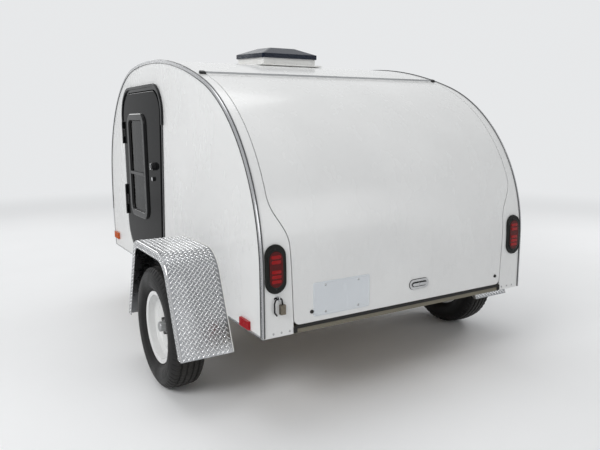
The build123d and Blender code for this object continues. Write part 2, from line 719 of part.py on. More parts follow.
inside = RAIL_HALF - RAIL_WIDE
rails, cross = [], []
for side in (1, -1):
    rails.append(tube(RAIL_REAR, rail_front, *sorted((side * RAIL_HALF, side * inside))))
    cross.append(tube(rail_front - RAIL_WIDE, rail_front, *sorted((side * inside, side * TONGUE_WIDE / 2))))
for station in (RAIL_REAR, TONGUE_REAR - RAIL_WIDE):
    cross.append(tube(station, station + RAIL_WIDE, -inside, inside))
nodes["frame_rails"] = Compound(rails)
nodes["crossmembers"] = Compound(cross)
tongue_front = BODY_LENGTH + TONGUE_AHEAD
nodes["tongue"] = tube(TONGUE_REAR, tongue_front, -TONGUE_WIDE / 2, TONGUE_WIDE / 2)

ball_x = tongue_front + COUPLER_REACH
ball_z = rail_top - RAIL_TALL / 2 + 6
socket = COUPLER_BALL / 2 + COUPLER_CLEAR
dome = socket + COUPLER_WALL
sleeve_half = TONGUE_WIDE / 2 + COUPLER_WALL
coupler = block(
    tongue_front - COUPLER_SLEEVE, tongue_front + 6, -sleeve_half, sleeve_half,
    rail_low + 12, rail_top + COUPLER_WALL,
)
coupler += block(tongue_front, ball_x, -dome, dome, ball_z - 22, ball_z + 20)
coupler += Pos(ball_x, 0, ball_z - 11) * Cylinder(dome, 22)
coupler += Pos(ball_x, 0, ball_z) * Sphere(dome)
coupler &= block(0, 9999, -99, 99, ball_z - 22, 9999)
coupler -= Pos(ball_x, 0, ball_z - 20) * Cylinder(socket, 40)
coupler -= Pos(ball_x, 0, ball_z) * Sphere(socket)
coupler -= block(0, tongue_front, -TONGUE_WIDE / 2, TONGUE_WIDE / 2, 0, rail_top)
coupler += block(ball_x - 110, ball_x - 20, -9, 9, rail_top + 2, rail_top + 20)
nodes["coupler"] = coupler

beam_x = WHEEL_STATION + ARM_REACH
beam_z = rail_low - AXLE_TUBE / 2 - 6
beam_end = ARM_PLANE - ARM_THICK / 2
beam = block(
    beam_x - AXLE_TUBE / 2, beam_x + AXLE_TUBE / 2, -beam_end, beam_end,
    beam_z - AXLE_TUBE / 2, beam_z + AXLE_TUBE / 2,
)
for side in (1, -1):
    y0, y1 = sorted((side * (RAIL_HALF - RAIL_WIDE), side * RAIL_HALF))
    beam += block(beam_x - 60, beam_x + 60, y0, y1, rail_low - 6, rail_low)
nodes["axle_beam"] = beam

arms = []
for side in (1, -1):
    y0, y1 = sorted((side * (ARM_PLANE - ARM_THICK / 2), side * (ARM_PLANE + ARM_THICK / 2)))
    arm = across(
        rounded([
            (WHEEL_STATION - 32, TYRE_RADIUS - 32, 30),
            (WHEEL_STATION - 32, TYRE_RADIUS + 32, 30),
            (beam_x + 34, beam_z + 34, 30),
            (beam_x + 34, beam_z - 34, 30),
        ]),
        y0, y1,
    )
    arm += rod(
        (WHEEL_STATION, side * ARM_PLANE, TYRE_RADIUS),
        (WHEEL_STATION, side * (WHEEL_HALF_TRACK + 10), TYRE_RADIUS),
        SPINDLE_RADIUS,
    )
    arms.append(arm)
nodes["suspension_arms"] = Compound(arms)


# Wheels: sections drawn with Y outward and Z as the radius, turned about Y
def turned(face):
    return revolve(Plane.YZ * face, axis=Axis.Y)


half_tread = TREAD_WIDTH / 2
half_tyre = TYRE_WIDTH / 2


def tyre_section(inset):
    """Half ring of the tyre: crowned tread, round shoulders, bulged walls, upright beads."""
    half = [
        (half_tread - inset / 2, TYRE_RADIUS - inset - 6),
        (half_tyre - inset - 6, TYRE_RADIUS - 34 - inset / 2),
        (half_tyre - inset, RIM_SEAT_RADIUS + 70),
        (half_tyre - inset - 11, RIM_SEAT_RADIUS + 36),
        (RIM_HALF_WIDTH - inset - 4, RIM_FLANGE_RADIUS + 3),
        (RIM_HALF_WIDTH - inset - 6, RIM_SEAT_RADIUS),
    ]
    other = [(-y, radius) for y, radius in half]
    edges = [
        ThreePointArc(other[0], (0, TYRE_RADIUS - inset), half[0]),
        ThreePointArc(*half[0:3]),
        ThreePointArc(*half[2:5]),
        Line(half[4], half[5]),
        Line(half[5], other[5]),
        Line(other[5], other[4]),
        ThreePointArc(*reversed(other[2:5])),
        ThreePointArc(*reversed(other[0:3])),
    ]
    return make_face(edges)


tyre = turned(tyre_section(0) - tyre_section(TYRE_WALL))

barrel_line = FilletPolyline(
    (-RIM_HALF_WIDTH, RIM_FLANGE_RADIUS),
    (-RIM_HALF_WIDTH + 2, RIM_SEAT_RADIUS - 2),
    (-40, RIM_SEAT_RADIUS - 3),
    (-30, RIM_SEAT_RADIUS - 24),
    (12, RIM_SEAT_RADIUS - 24),
    (24, RIM_SEAT_RADIUS - 3),
    (RIM_HALF_WIDTH - 2, RIM_SEAT_RADIUS - 2),
    (RIM_HALF_WIDTH, RIM_FLANGE_RADIUS),
    radius=[1.8, 7, 7, 7, 7, 1.8],
)
rim_section = trace(barrel_line, line_width=RIM_GAUGE)
disc_line = FilletPolyline(
    (8, RIM_SEAT_RADIUS - 24), (16, 118), (4, 84), (4, HUB_RADIUS + HUB_BORE_GAP), radius=[12, 20]
)
rim_section += trace(disc_line, line_width=4)
rim = turned(rim_section)
for index in range(LUG_COUNT):
    turn = Rot(0, 360 / LUG_COUNT * index, 0)
    rim -= turn * Pos(0, 0, LUG_CIRCLE) * Rot(90, 0, 0) * Cylinder(7, 60)
    rim -= turn * Rot(0, 36, 0) * Pos(0, 20, 104) * Rot(90, 0, 0) * Cylinder(13, 60)

hub = Pos(0, -2, 0) * Rot(90, 0, 0) * Cylinder(HUB_FLANGE, 8)
hub += Pos(0, (HUB_NOSE - 58) / 2, 0) * Rot(90, 0, 0) * Cylinder(HUB_RADIUS, HUB_NOSE + 58)
hub += Pos(0, HUB_NOSE + CAP_LENGTH / 2, 0) * Rot(90, 0, 0) * Cylinder(CAP_RADIUS, CAP_LENGTH)
hub = eased(hub, CAP_EASE)
hub -= Pos(0, -50, 0) * Rot(90, 0, 0) * Cylinder(SPINDLE_RADIUS + SPINDLE_CLEAR, 126)
for index in range(LUG_COUNT):
    turn = Rot(0, 360 / LUG_COUNT * index, 0)
    nut = Rot(90, 0, 0) * extrude(RegularPolygon(LUG_NUT / 2, 6, major_radius=False), amount=16)
    hub += turn * Pos(0, 22, LUG_CIRCLE) * nut
    hub += turn * Pos(0, 8, LUG_CIRCLE) * Rot(90, 0, 0) * Cylinder(6, 14)

for side, word in ((1, "left"), (-1, "right")):
    place = Pos(WHEEL_STATION, side * WHEEL_HALF_TRACK, TYRE_RADIUS)
    for name, piece in (("tyre", tyre), ("wheel_rim", rim), ("wheel_hub", hub)):
        turned_out = piece if side > 0 else mirrored(piece)
        nodes[f"{name}_{word}"] = place * turned_out


# Fenders: one bent sheet with a rolled outer lip and a flange against the wall
def fender_outline(inset=0.0):
    foot = BODY_BOTTOM - FENDER_FOOT
    rear_run = (FENDER_REAR_REACH + FENDER_REAR_TUCK) / (FENDER_TOP - foot)
    front_run = (FENDER_FRONT_REACH + FENDER_FRONT_TUCK) / (FENDER_TOP - foot)
    face = rounded([
        (WHEEL_STATION - TYRE_RADIUS - FENDER_REAR_REACH - 100 * rear_run, foot - 100, 0),
        (WHEEL_STATION - TYRE_RADIUS + FENDER_REAR_TUCK, FENDER_TOP, FENDER_REAR_BEND),
        (WHEEL_STATION + TYRE_RADIUS - FENDER_FRONT_TUCK, FENDER_TOP, FENDER_FRONT_BEND),
        (WHEEL_STATION + TYRE_RADIUS + FENDER_FRONT_REACH + 100 * front_run, foot - 100, 0),
    ])
    return offset(face, -inset) if inset else face


fender_in = HALF + FENDER_WALL_GAP
fender = across(fender_outline() - fender_outline(FENDER_SHEET), fender_in, FENDER_OUT)
fender += across(
    fender_outline() - fender_outline(FENDER_LIP), FENDER_OUT - FENDER_SHEET, FENDER_OUT
)
fender += across(
    fender_outline() - fender_outline(FENDER_FLANGE), fender_in, fender_in + FENDER_SHEET
)
fender &= block(0, BODY_LENGTH, 0, FENDER_OUT + 1, BODY_BOTTOM - FENDER_FOOT, FENDER_TOP + 1)
nodes["fender_left"] = fender
nodes["fender_right"] = mirrored(fender)


# Lights
grommets, lenses = [], []
for side in (1, -1):
    flange = light_prism(GROMMET_FLANGE, side, -GROMMET_PROUD, 0, GROMMET_ENDS)
    body = light_prism(GROMMET_BODY, side, -2, SKIN - 1)
    cavity = light_prism(0, side, -30, LENS_DEPTH)
    grommets.append((flange + body) - cavity)
    lenses.append(light_prism(0, side, -LENS_PROUD, LENS_DEPTH))
nodes["light_grommets"] = Compound(grommets)
nodes["light_lenses"] = Compound(lenses)

red, amber = [], []
for side in (1, -1):
    y0, y1 = sorted((side * HALF, side * (HALF + MARKER_PROUD)))
    rear, ahead, low, high = REAR_MARKER
    red.append(block(rear, ahead, y0, y1, BODY_BOTTOM + low, BODY_BOTTOM + high))
    ahead, rear, low, high = FRONT_MARKER
    amber.append(
        block(BODY_LENGTH - rear, BODY_LENGTH - ahead, y0, y1, BODY_BOTTOM + low, BODY_BOTTOM + high)
    )
nodes["rear_markers"] = Compound(red)
nodes["front_markers"] = Compound(amber)


# Parking jack on the tongue's left side
jack_y = TONGUE_WIDE / 2 + 8 + JACK_TUBE / 2
jack = Pos(JACK_STATION, jack_y, (JACK_BASE + JACK_TOP) / 2) * Cylinder(JACK_TUBE / 2, JACK_TOP - JACK_BASE)
jack -= Pos(JACK_STATION, jack_y, (JACK_BASE + JACK_TOP) / 2 - 6) * Cylinder(
    JACK_TUBE / 2 - JACK_WALL, JACK_TOP - JACK_BASE
)
jack += block(
    JACK_STATION - 60, JACK_STATION + 60, TONGUE_WIDE / 2, TONGUE_WIDE / 2 + 10, rail_low + 4, rail_top - 4
)
jack += Pos(JACK_STATION, jack_y, JACK_TOP + 14) * Cylinder(9, 28)
jack += rod((JACK_STATION, jack_y, JACK_TOP + 28), (JACK_STATION - 150, jack_y, JACK_TOP + 28), 7)
jack += rod((JACK_STATION - 143, jack_y, JACK_TOP + 28), (JACK_STATION - 143, jack_y, JACK_TOP + 100), 11)
nodes["jack_tube"] = jack
leg = Pos(JACK_STATION, jack_y, 0) * Cylinder(
    JACK_LEG / 2, JACK_TOP - JACK_TRAVEL - 20, align=(Align.CENTER, Align.CENTER, Align.MIN)
)
leg += block(
    JACK_STATION - JACK_PAD_LENGTH / 2, JACK_STATION + JACK_PAD_LENGTH / 2,
    jack_y - JACK_PAD_WIDTH / 2, jack_y + JACK_PAD_WIDTH / 2, 0, JACK_PAD_THICK,
)
nodes["jack_leg"] = leg


# Gas struts, with the studs that carry them
foot_z = BODY_BOTTOM + COUNTER_HEIGHT + STRUT_FOOT_RISE
head_z = at_station(STRUT_HEAD_STATION, HATCH_THICK)[1] - STRUT_HEAD_DROP
strut_run = Vector(STRUT_HEAD_STATION - STRUT_FOOT_STATION, 0, head_z - foot_z)
strut_dir = strut_run.normalized()
tube_length = strut_run.length - STRUT_ROD_OUT
wall_studs, hatch_studs = [], []
for side, word in ((1, "left"), (-1, "right")):
    y = side * STRUT_HALF
    foot = Vector(STRUT_FOOT_STATION, y, foot_z)
    head = Vector(STRUT_HEAD_STATION, y, head_z)
    wall_studs.append(rod((foot.X, side * INNER, foot.Z), (foot.X, y - side * 6, foot.Z), STUD_RADIUS))
    eye = Pos(foot.X, y, foot.Z) * Rot(90, 0, 0) * Cylinder(11, 12)
    tube = rod(tuple(foot), tuple(foot + strut_dir * tube_length), STRUT_TUBE)
    tube = tube + eye - Pos(foot.X, y, foot.Z) * Rot(90, 0, 0) * Cylinder(STUD_RADIUS + STRUT_CLEAR, 40)
    bore_end = foot + strut_dir * (tube_length + 1)
    tube -= rod(tuple(foot + strut_dir * 18), tuple(bore_end), STRUT_ROD + STRUT_CLEAR)
    nodes[f"strut_tube_{word}"] = tube
    shaft = rod(tuple(foot + strut_dir * 22), tuple(head), STRUT_ROD)
    shaft += Pos(head.X, y, head.Z) * Rot(90, 0, 0) * Cylinder(10, 12)
    nodes[f"strut_rod_{word}"] = shaft
    stud = rod((head.X, y - side * 40, head.Z), (head.X, y - side * 6.5, head.Z), STUD_RADIUS)
    skin_z = at_station(head.X, HATCH_THICK)[1]
    stud += block(
        head.X - 12, head.X + 12, *sorted((y - side * 40, y - side * 30)), head.Z - 9, skin_z + 12
    )
    hatch_studs.append(stud - nodes["hatch"])
nodes["strut_wall_studs"] = Compound(wall_studs)
nodes["strut_hatch_studs"] = Compound(hatch_studs)


# Move the whole trailer so that its outline is centred on the origin, and write each piece
boxes = [piece.bounding_box() for piece in nodes.values()]
middle_x = (min(box.min.X for box in boxes) + max(box.max.X for box in boxes)) / 2
os.makedirs("parts", exist_ok=True)
for name, piece in nodes.items():
    export_step(Pos(-middle_x, 0, 0) * piece, f"parts/{name}.step")
lid_axis = LID_AXIS.position
print("middle", round(middle_x, 3))
print("hatch axis", round(HINGE_AXIS_X - middle_x, 3), round(HINGE_AXIS_Z, 3))
print("lid axis", round(lid_axis.X - middle_x, 3), round(lid_axis.Z, 3), round(vent_slope, 3))
print("door axis", round(knuckle_x - middle_x, 3), round(knuckle_y, 3))
print("ball", round(ball_x - middle_x, 3), round(ball_z, 3), socket)
print("strut foot", STRUT_FOOT_STATION, foot_z, "head", STRUT_HEAD_STATION, round(head_z, 3))
print("wheel", round(WHEEL_STATION - middle_x, 3), "jack", round(JACK_STATION - middle_x, 3), jack_y)
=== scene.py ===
# %% [markdown]
# # A teardrop camping trailer
#
# The real trailer is a white aluminium body on a black steel frame. Bright tread-plate fenders sit
# over white steel wheels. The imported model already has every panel, hinge and wheel in its place, so
# this lesson dresses that frame: it gives each part its finish, and adds the small pieces that a
# drawing leaves out, such as tread, screws and raised lozenges. Everything is in metres. X runs
# forward, Y to the trailer's left and Z up from the ground.

# %% Load the frame
import json
import math

import bmesh
import bpy
import numpy as np
from mathutils import Matrix, Vector

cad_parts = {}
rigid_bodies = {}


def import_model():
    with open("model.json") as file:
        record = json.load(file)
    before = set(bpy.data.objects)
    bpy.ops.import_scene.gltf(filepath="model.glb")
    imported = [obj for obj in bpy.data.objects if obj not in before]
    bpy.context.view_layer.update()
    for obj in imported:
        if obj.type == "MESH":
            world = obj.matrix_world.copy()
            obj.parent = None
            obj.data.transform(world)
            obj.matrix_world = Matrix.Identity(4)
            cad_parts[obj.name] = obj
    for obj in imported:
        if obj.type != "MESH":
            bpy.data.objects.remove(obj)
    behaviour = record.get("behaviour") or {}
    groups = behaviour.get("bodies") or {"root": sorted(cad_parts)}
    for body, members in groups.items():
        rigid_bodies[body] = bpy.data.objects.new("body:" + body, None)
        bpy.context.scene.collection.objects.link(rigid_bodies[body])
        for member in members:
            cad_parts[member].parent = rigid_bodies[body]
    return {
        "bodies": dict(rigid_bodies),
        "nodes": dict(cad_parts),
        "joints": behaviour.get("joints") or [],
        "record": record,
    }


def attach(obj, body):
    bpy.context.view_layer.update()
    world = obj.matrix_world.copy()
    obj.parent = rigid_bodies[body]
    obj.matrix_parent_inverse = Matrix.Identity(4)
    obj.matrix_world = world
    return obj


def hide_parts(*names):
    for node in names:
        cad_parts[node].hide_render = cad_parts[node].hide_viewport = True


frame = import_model()
nodes = frame["nodes"]
bpy.context.view_layer.update()
scene = bpy.context.scene

# %% [markdown]
# ## Camera
#
# The picture was taken from behind the left rear corner, from about chest height, and it looks
# slightly down. A camera could be moved about by eye until the body fits. Here its place and angles
# were worked out from the body's straight edges, so the script only has to state them: the heading
# and dip of the line of sight, a small roll, and the focal length in pixels of the 600 pixel wide
# picture.

# %% Set the camera
CAMERA_PLACE = Vector((-3.7932, 1.8848, 1.3118))
HEADING, DIP, ROLL = math.radians(-30.889), math.radians(9.783), math.radians(0.372)
FOCAL_PIXELS, PICTURE_WIDTH, SENSOR = 603.27, 600, 36.0

ahead = Vector((math.cos(DIP) * math.cos(HEADING), math.cos(DIP) * math.sin(HEADING), -math.sin(DIP)))
level_right = Vector((math.sin(HEADING), -math.cos(HEADING), 0))
right = level_right * math.cos(ROLL) - level_right.cross(ahead) * math.sin(ROLL)
up = right.cross(ahead)

camera_data = bpy.data.cameras.new("photo_camera")
camera_data.sensor_width = SENSOR
camera_data.lens = FOCAL_PIXELS * SENSOR / PICTURE_WIDTH
camera_data.clip_start, camera_data.clip_end = 0.05, 100
camera = bpy.data.objects.new("photo_camera", camera_data)
scene.collection.objects.link(camera)
camera.matrix_world = Matrix.Translation(CAMERA_PLACE) @ Matrix((right, up, -ahead)).transposed().to_4x4()
scene.camera = camera
print("lens", round(camera_data.lens, 2), "mm")

# %% [markdown]
# ## Shader nodes in few words
#
# A material is a small network: each node works out a value and hands it to the next one. Adding a
# node takes three lines in Blender's own words, its kind, its settings and its links, and this
# trailer needs a few hundred of them. So a helper takes all three at once, and a few more name the
# steps that come back everywhere: a piece of arithmetic, a soft threshold, a mix of two colours.

# %% Node helpers
def add(tree, kind, inputs=None, **settings):
    """Add a node. A value goes into its socket, and another node's output is linked to it."""
    node = tree.nodes.new("ShaderNode" + kind)
    for name, value in settings.items():
        setattr(node, name, value)
    for socket, value in (inputs or {}).items():
        if isinstance(value, bpy.types.NodeSocket):
            tree.links.new(value, node.inputs[socket])
        else:
            node.inputs[socket].default_value = value
    return node


def calc(tree, operation, first, second=0.5, clamp=False):
    return add(tree, "Math", {0: first, 1: second}, operation=operation, use_clamp=clamp).outputs[0]


def times(tree, first, second):
    return calc(tree, "MULTIPLY", first, second)


def plus(tree, first, second):
    return calc(tree, "ADD", first, second)


def soft_step(tree, value, low, high, out_low=0.0, out_high=1.0):
    """Goes smoothly from out_low to out_high while the value goes from low to high."""
    inputs = {"Value": value, "From Min": low, "From Max": high, "To Min": out_low, "To Max": out_high}
    return add(tree, "MapRange", inputs, interpolation_type="SMOOTHSTEP").outputs[0]


def opaque(colour):
    """Three numbers get an alpha of 1, and a node's output stays as it is."""
    return (*colour, 1) if isinstance(colour, tuple) else colour


def mix_colour(tree, factor, first, second):
    inputs = {0: factor, 6: opaque(first), 7: opaque(second)}
    return add(tree, "Mix", inputs, data_type="RGBA").outputs[2]


print("node helpers", [helper.__name__ for helper in (add, calc, times, plus, soft_step, mix_colour)])

# %% [markdown]
# Patterns are placed by Object coordinates, which are metres on the trailer itself. So a pattern stays
# where it is when the camera moves, and two parts that meet share it.

# %% Places and groups
def placed(tree, scale=(1, 1, 1), centre=(0, 0, 0)):
    """Object coordinates measured from a centre, stretched along each axis."""
    shift = tuple(-c * s for c, s in zip(centre, scale))
    spot = add(tree, "TexCoord").outputs["Object"]
    return add(tree, "Mapping", {"Vector": spot, "Location": shift, "Scale": scale}).outputs[0]


def axis_of(tree, letter):
    return add(tree, "SeparateXYZ", {0: placed(tree)}).outputs[letter]


def distance(tree, vector):
    return add(tree, "VectorMath", {0: vector}, operation="LENGTH").outputs["Value"]


def noise(tree, vector, scale, detail=3.0, roughness=0.5):
    inputs = {"Vector": vector, "Scale": scale, "Detail": detail, "Roughness": roughness}
    return add(tree, "TexNoise", inputs).outputs[0]


def new_group(name, inputs, outputs):
    """A shader node group whose sockets are given as name: kind."""
    tree = bpy.data.node_groups.new(name, "ShaderNodeTree")
    for way, sockets in (("INPUT", inputs), ("OUTPUT", outputs)):
        for label, kind in sockets.items():
            tree.interface.new_socket(label, in_out=way, socket_type="NodeSocket" + kind)
    return tree, tree.nodes.new("NodeGroupInput").outputs, tree.nodes.new("NodeGroupOutput").inputs


def group_node(tree, group, inputs, name=""):
    return add(tree, "Group", inputs, node_tree=group, name=name).outputs


print("place helpers", [helper.__name__ for helper in (placed, axis_of, distance, noise, new_group)])

# %% [markdown]
# ## Studio
#
# The trailer stands on a plain pale floor in soft light. A white room could be built from walls, but
# then its corners show in every gloss surface. Here the world looks pale to the camera, to reflections
# and through glass, while its light on the object is set by a second value. Five large lamps give the
# soft shapes that gloss paint and polished plate need for their highlights.

# %% Light
BACKDROP = (0.80, 0.81, 0.82, 1)
AMBIENT = 0.45
LAMPS = (  # name, watts, place, width, depth
    ("key", 172, (-3.2, 5.2, 4.4), 3.4, 2.4),
    ("overhead", 70, (0.2, 0.3, 5.6), 4.5, 3.0),
    ("rear_fill", 30, (-6.2, -2.4, 2.6), 2.6, 2.2),
    ("front_fill", 70, (5.4, 1.5, 3.4), 3.0, 2.2),
    ("right_fill", 80, (0.0, -6.0, 3.2), 3.0, 2.2),
)
AIM = Vector((-0.1, 0, 0.8))
scene.view_settings.view_transform = "Standard"


def seen_plainly(tree):
    """1 for camera, mirror and glass rays, and 0 for the rays that light a surface."""
    path = add(tree, "LightPath").outputs
    seen = calc(tree, "MAXIMUM", path["Is Camera Ray"], path["Is Glossy Ray"])
    return calc(tree, "MAXIMUM", seen, path["Is Transmission Ray"])


world = bpy.data.worlds.new("studio")
scene.world = world
world.use_nodes = True
sky = world.node_tree
sky.nodes["Background"].inputs["Color"].default_value = BACKDROP
strength = soft_step(sky, seen_plainly(sky), 0, 1, AMBIENT, 1.0)
sky.links.new(strength, sky.nodes["Background"].inputs["Strength"])

for name, watts, place, width, depth in LAMPS:
    lamp_data = bpy.data.lights.new(name, "AREA")
    lamp_data.shape, lamp_data.size, lamp_data.size_y = "RECTANGLE", width, depth
    lamp_data.energy = watts
    lamp = bpy.data.objects.new(name, lamp_data)
    lamp.location = place
    lamp.rotation_euler = (AIM - lamp.location).to_track_quat("-Z", "Y").to_euler()
    scene.collection.objects.link(lamp)
print("lamps", len(LAMPS), "of", sum(watts for _, watts, *_ in LAMPS), "watts")

# %% [markdown]
# The floor is one large round sheet whose far part fades into the background's own colour, so no
# horizon line shows. The fade is there only for rays that see the floor, so it puts no light on the
# trailer.

# %% Floor
FLOOR_REACH, FLOOR_CORNERS, FADE = 60.0, 48, (3.2, 8.5)
floor_material = bpy.data.materials.new("pale_floor")
floor_material.use_nodes = True
tree = floor_material.node_tree
floor_paint = tree.nodes["Principled BSDF"]
spot = placed(tree)
floor_colour = mix_colour(tree, noise(tree, spot, 1.3, 4), (0.90, 0.905, 0.91), (0.94, 0.945, 0.95))
tree.links.new(floor_colour, floor_paint.inputs["Base Color"])
floor_paint.inputs["Roughness"].default_value = 0.8
far_share = times(tree, soft_step(tree, distance(tree, spot), *FADE), seen_plainly(tree))
glow = add(tree, "Emission", {"Color": BACKDROP, "Strength": 1.0}).outputs[0]
fade = add(tree, "MixShader", {0: far_share, 1: floor_paint.outputs[0], 2: glow})
tree.links.new(fade.outputs[0], tree.nodes["Material Output"].inputs["Surface"])

turn = np.linspace(0, 2 * np.pi, FLOOR_CORNERS, endpoint=False)
rim = FLOOR_REACH * np.stack([np.cos(turn), np.sin(turn), 0 * turn], -1)
floor_mesh = bpy.data.meshes.new("floor")
floor_mesh.from_pydata(rim.tolist(), [], [list(range(FLOOR_CORNERS))])
floor_mesh.materials.append(floor_material)
floor = bpy.data.objects.new("floor", floor_mesh)
scene.collection.objects.link(floor)
print("floor", 2 * FLOOR_REACH, "m across")

# %% [markdown]
# ## Marks that every surface has
#
# Nothing on a trailer is one flat colour. Paint varies by a few percent, rain leaves faint upright
# streaks, fingers and cloths change the gloss, and dust gathers low down near the road. These marks
# could be repeated in each material, but they are the same effect at different strengths. So they are
# one node group: it takes a colour and a roughness, and gives both back with the marks in them, and a
# height for the bump.

# %% Group: surface marks
STRENGTHS = ("Roughness", "Dust", "Streaks", "Smudges", "Grain", "Waves")
MARKED = {"Colour": "Color", "Roughness": "Float", "Height": "Float"}
DUST_COLOUR = (0.30, 0.26, 0.21)
mark_inputs = {"Colour": "Color", **dict.fromkeys(STRENGTHS, "Float")}
marks, given, result = new_group("surface_marks", mark_inputs, MARKED)
spot = placed(marks)
broad = noise(marks, spot, 2.1, 3)
cloth = noise(marks, placed(marks, (5, 5, 2.2)), 2.4, 2.5)
rain = noise(marks, placed(marks, (22, 22, 1.1)), 1.0, 1.5)
speck = noise(marks, spot, 240, 3, 0.7)
low_down = soft_step(marks, axis_of(marks, "Z"), 0.95, 0.15)
speckled = times(marks, low_down, soft_step(marks, speck, 0.42, 0.7, 0.35, 1.0))
dusty = times(marks, times(marks, speckled, given["Dust"]), plus(marks, broad, 0.35))
streaky = times(marks, soft_step(marks, rain, 0.45, 0.85), given["Streaks"])
veil = calc(marks, "ADD", dusty, streaky, clamp=True)
uneven = {"Value": soft_step(marks, broad, 0.25, 0.75, 0.955, 1.03), "Color": given["Colour"]}
shade = add(marks, "HueSaturation", uneven).outputs[0]
marks.links.new(mix_colour(marks, veil, shade, DUST_COLOUR), result["Colour"])
handled = times(marks, soft_step(marks, cloth, 0.3, 0.75, -1.0, 1.0), given["Smudges"])
rougher = plus(marks, plus(marks, given["Roughness"], handled), times(marks, veil, 0.5))
marks.links.new(calc(marks, "MAXIMUM", rougher, 0.03), result["Roughness"])
fine = times(marks, noise(marks, spot, 900, 4, 0.6), given["Grain"])
wavy = times(marks, noise(marks, spot, 2.6, 1), given["Waves"])
marks.links.new(plus(marks, fine, wavy), result["Height"])
print("surface_marks nodes", len(marks.nodes))

# %% [markdown]
# ## Metal, wood and plating
#
# Rolled aluminium shows fine lines along one direction, plywood shows long wandering grain, and zinc
# plating grows in small flat crystals of slightly different grey. Each is a pattern stretched or cut
# in its own way: noise squeezed along an axis, rings of a wave bent by noise, and the cells of a
# Voronoi texture. More than one part uses each of them, so they are groups too.

# %% Groups: brushed lines, ply grain, zinc crystals
def stretched(tree, scale):
    spot = add(tree, "TexCoord").outputs["Object"]
    return add(tree, "Mapping", {"Vector": spot, "Scale": scale}).outputs[0]


line_inputs = {"Stretch": "Vector", "Scale": "Float"}
brushed, given, result = new_group("brushed_lines", line_inputs, {"Lines": "Float"})
drawn = stretched(brushed, given["Stretch"])
brushed.links.new(noise(brushed, drawn, given["Scale"], 4.0, 0.65), result["Lines"])

wood_inputs = {"Light": "Color", "Dark": "Color", "Stretch": "Vector"}
grain, given, result = new_group("ply_grain", wood_inputs, MARKED)
board = stretched(grain, given["Stretch"])
wander = noise(grain, board, 2.2, 4)
aside = add(grain, "CombineXYZ", {0: wander, 1: wander, 2: wander}).outputs[0]
bent = add(grain, "VectorMath", {0: board, 1: aside}).outputs[0]
rings = add(grain, "TexWave", {"Vector": bent, "Scale": 5.0, "Distortion": 3.0, "Detail": 3.0})
pores = soft_step(grain, noise(grain, board, 60, 4, 0.7), 0.56, 0.72)
figure = plus(grain, times(grain, rings.outputs["Fac"], 0.55), times(grain, pores, 0.4))
grain.links.new(mix_colour(grain, figure, given["Light"], given["Dark"]), result["Colour"])
grain.links.new(soft_step(grain, figure, 0, 1, 0.38, 0.55), result["Roughness"])
grain.links.new(times(grain, figure, -1.0), result["Height"])

crystals, given, result = new_group("zinc_crystals", {"Scale": "Float"}, {"Tone": "Float"})
spot = add(crystals, "TexCoord").outputs["Object"]
cells = add(crystals, "TexVoronoi", {"Vector": spot, "Scale": given["Scale"], "Randomness": 1.0})
tone = add(crystals, "SeparateColor", {0: cells.outputs["Color"]}).outputs[0]
clouded = plus(crystals, times(crystals, tone, 0.6), times(crystals, noise(crystals, spot, 40), 0.4))
crystals.links.new(clouded, result["Tone"])
print("groups", [group.name for group in bpy.data.node_groups])

# %% [markdown]
# ## A finish in one call
#
# Most parts are paint, plastic or rubber: a colour under the shared marks. One function makes such a
# material from its few numbers. Numbers that are the same all over the part, such as the coat of
# varnish or the metal content, go straight onto the shader, and only what varies is linked.

# %% Material helpers
def finish(
    name, colour, roughness, dust=0.3, streaks=0.0, smudges=0.06, grain=0.3, waves=0.0, bump=0.0002, **shader
):
    """A material whose colour, roughness and bump come from the surface marks."""
    material = bpy.data.materials.new(name)
    material.use_nodes = True
    tree = material.node_tree
    paint = tree.nodes["Principled BSDF"]
    strengths = dict(zip(STRENGTHS, (roughness, dust, streaks, smudges, grain, waves)))
    marked = group_node(tree, marks, {"Colour": opaque(colour), **strengths}, name="marks")
    bumped = add(tree, "Bump", {"Height": marked["Height"], "Distance": bump, "Strength": 1.0}, name="bump")
    tree.links.new(marked["Colour"], paint.inputs["Base Color"])
    tree.links.new(marked["Roughness"], paint.inputs["Roughness"])
    tree.links.new(bumped.outputs[0], paint.inputs["Normal"])
    for socket, value in shader.items():
        paint.inputs[socket.replace("_", " ").title().replace("Ior", "IOR")].default_value = value
    return material


def parts_of(material):
    """The tree, shader, marks and bump of a finish, for adding to it."""
    tree = material.node_tree
    return tree, tree.nodes["Principled BSDF"], tree.nodes["marks"], tree.nodes["bump"]


def recolour(material, colour):
    """Put a varying colour under a finish's marks."""
    tree, _, marked, _ = parts_of(material)
    tree.links.new(colour, marked.inputs["Colour"])


def carve(material, height):
    """Add a pattern's height, as a share of the bump's distance, to a finish's own."""
    tree, _, marked, bumped = parts_of(material)
    tree.links.new(plus(tree, marked.outputs["Height"], height), bumped.inputs["Height"])


print("material helpers", [helper.__name__ for helper in (finish, parts_of, recolour, carve)])
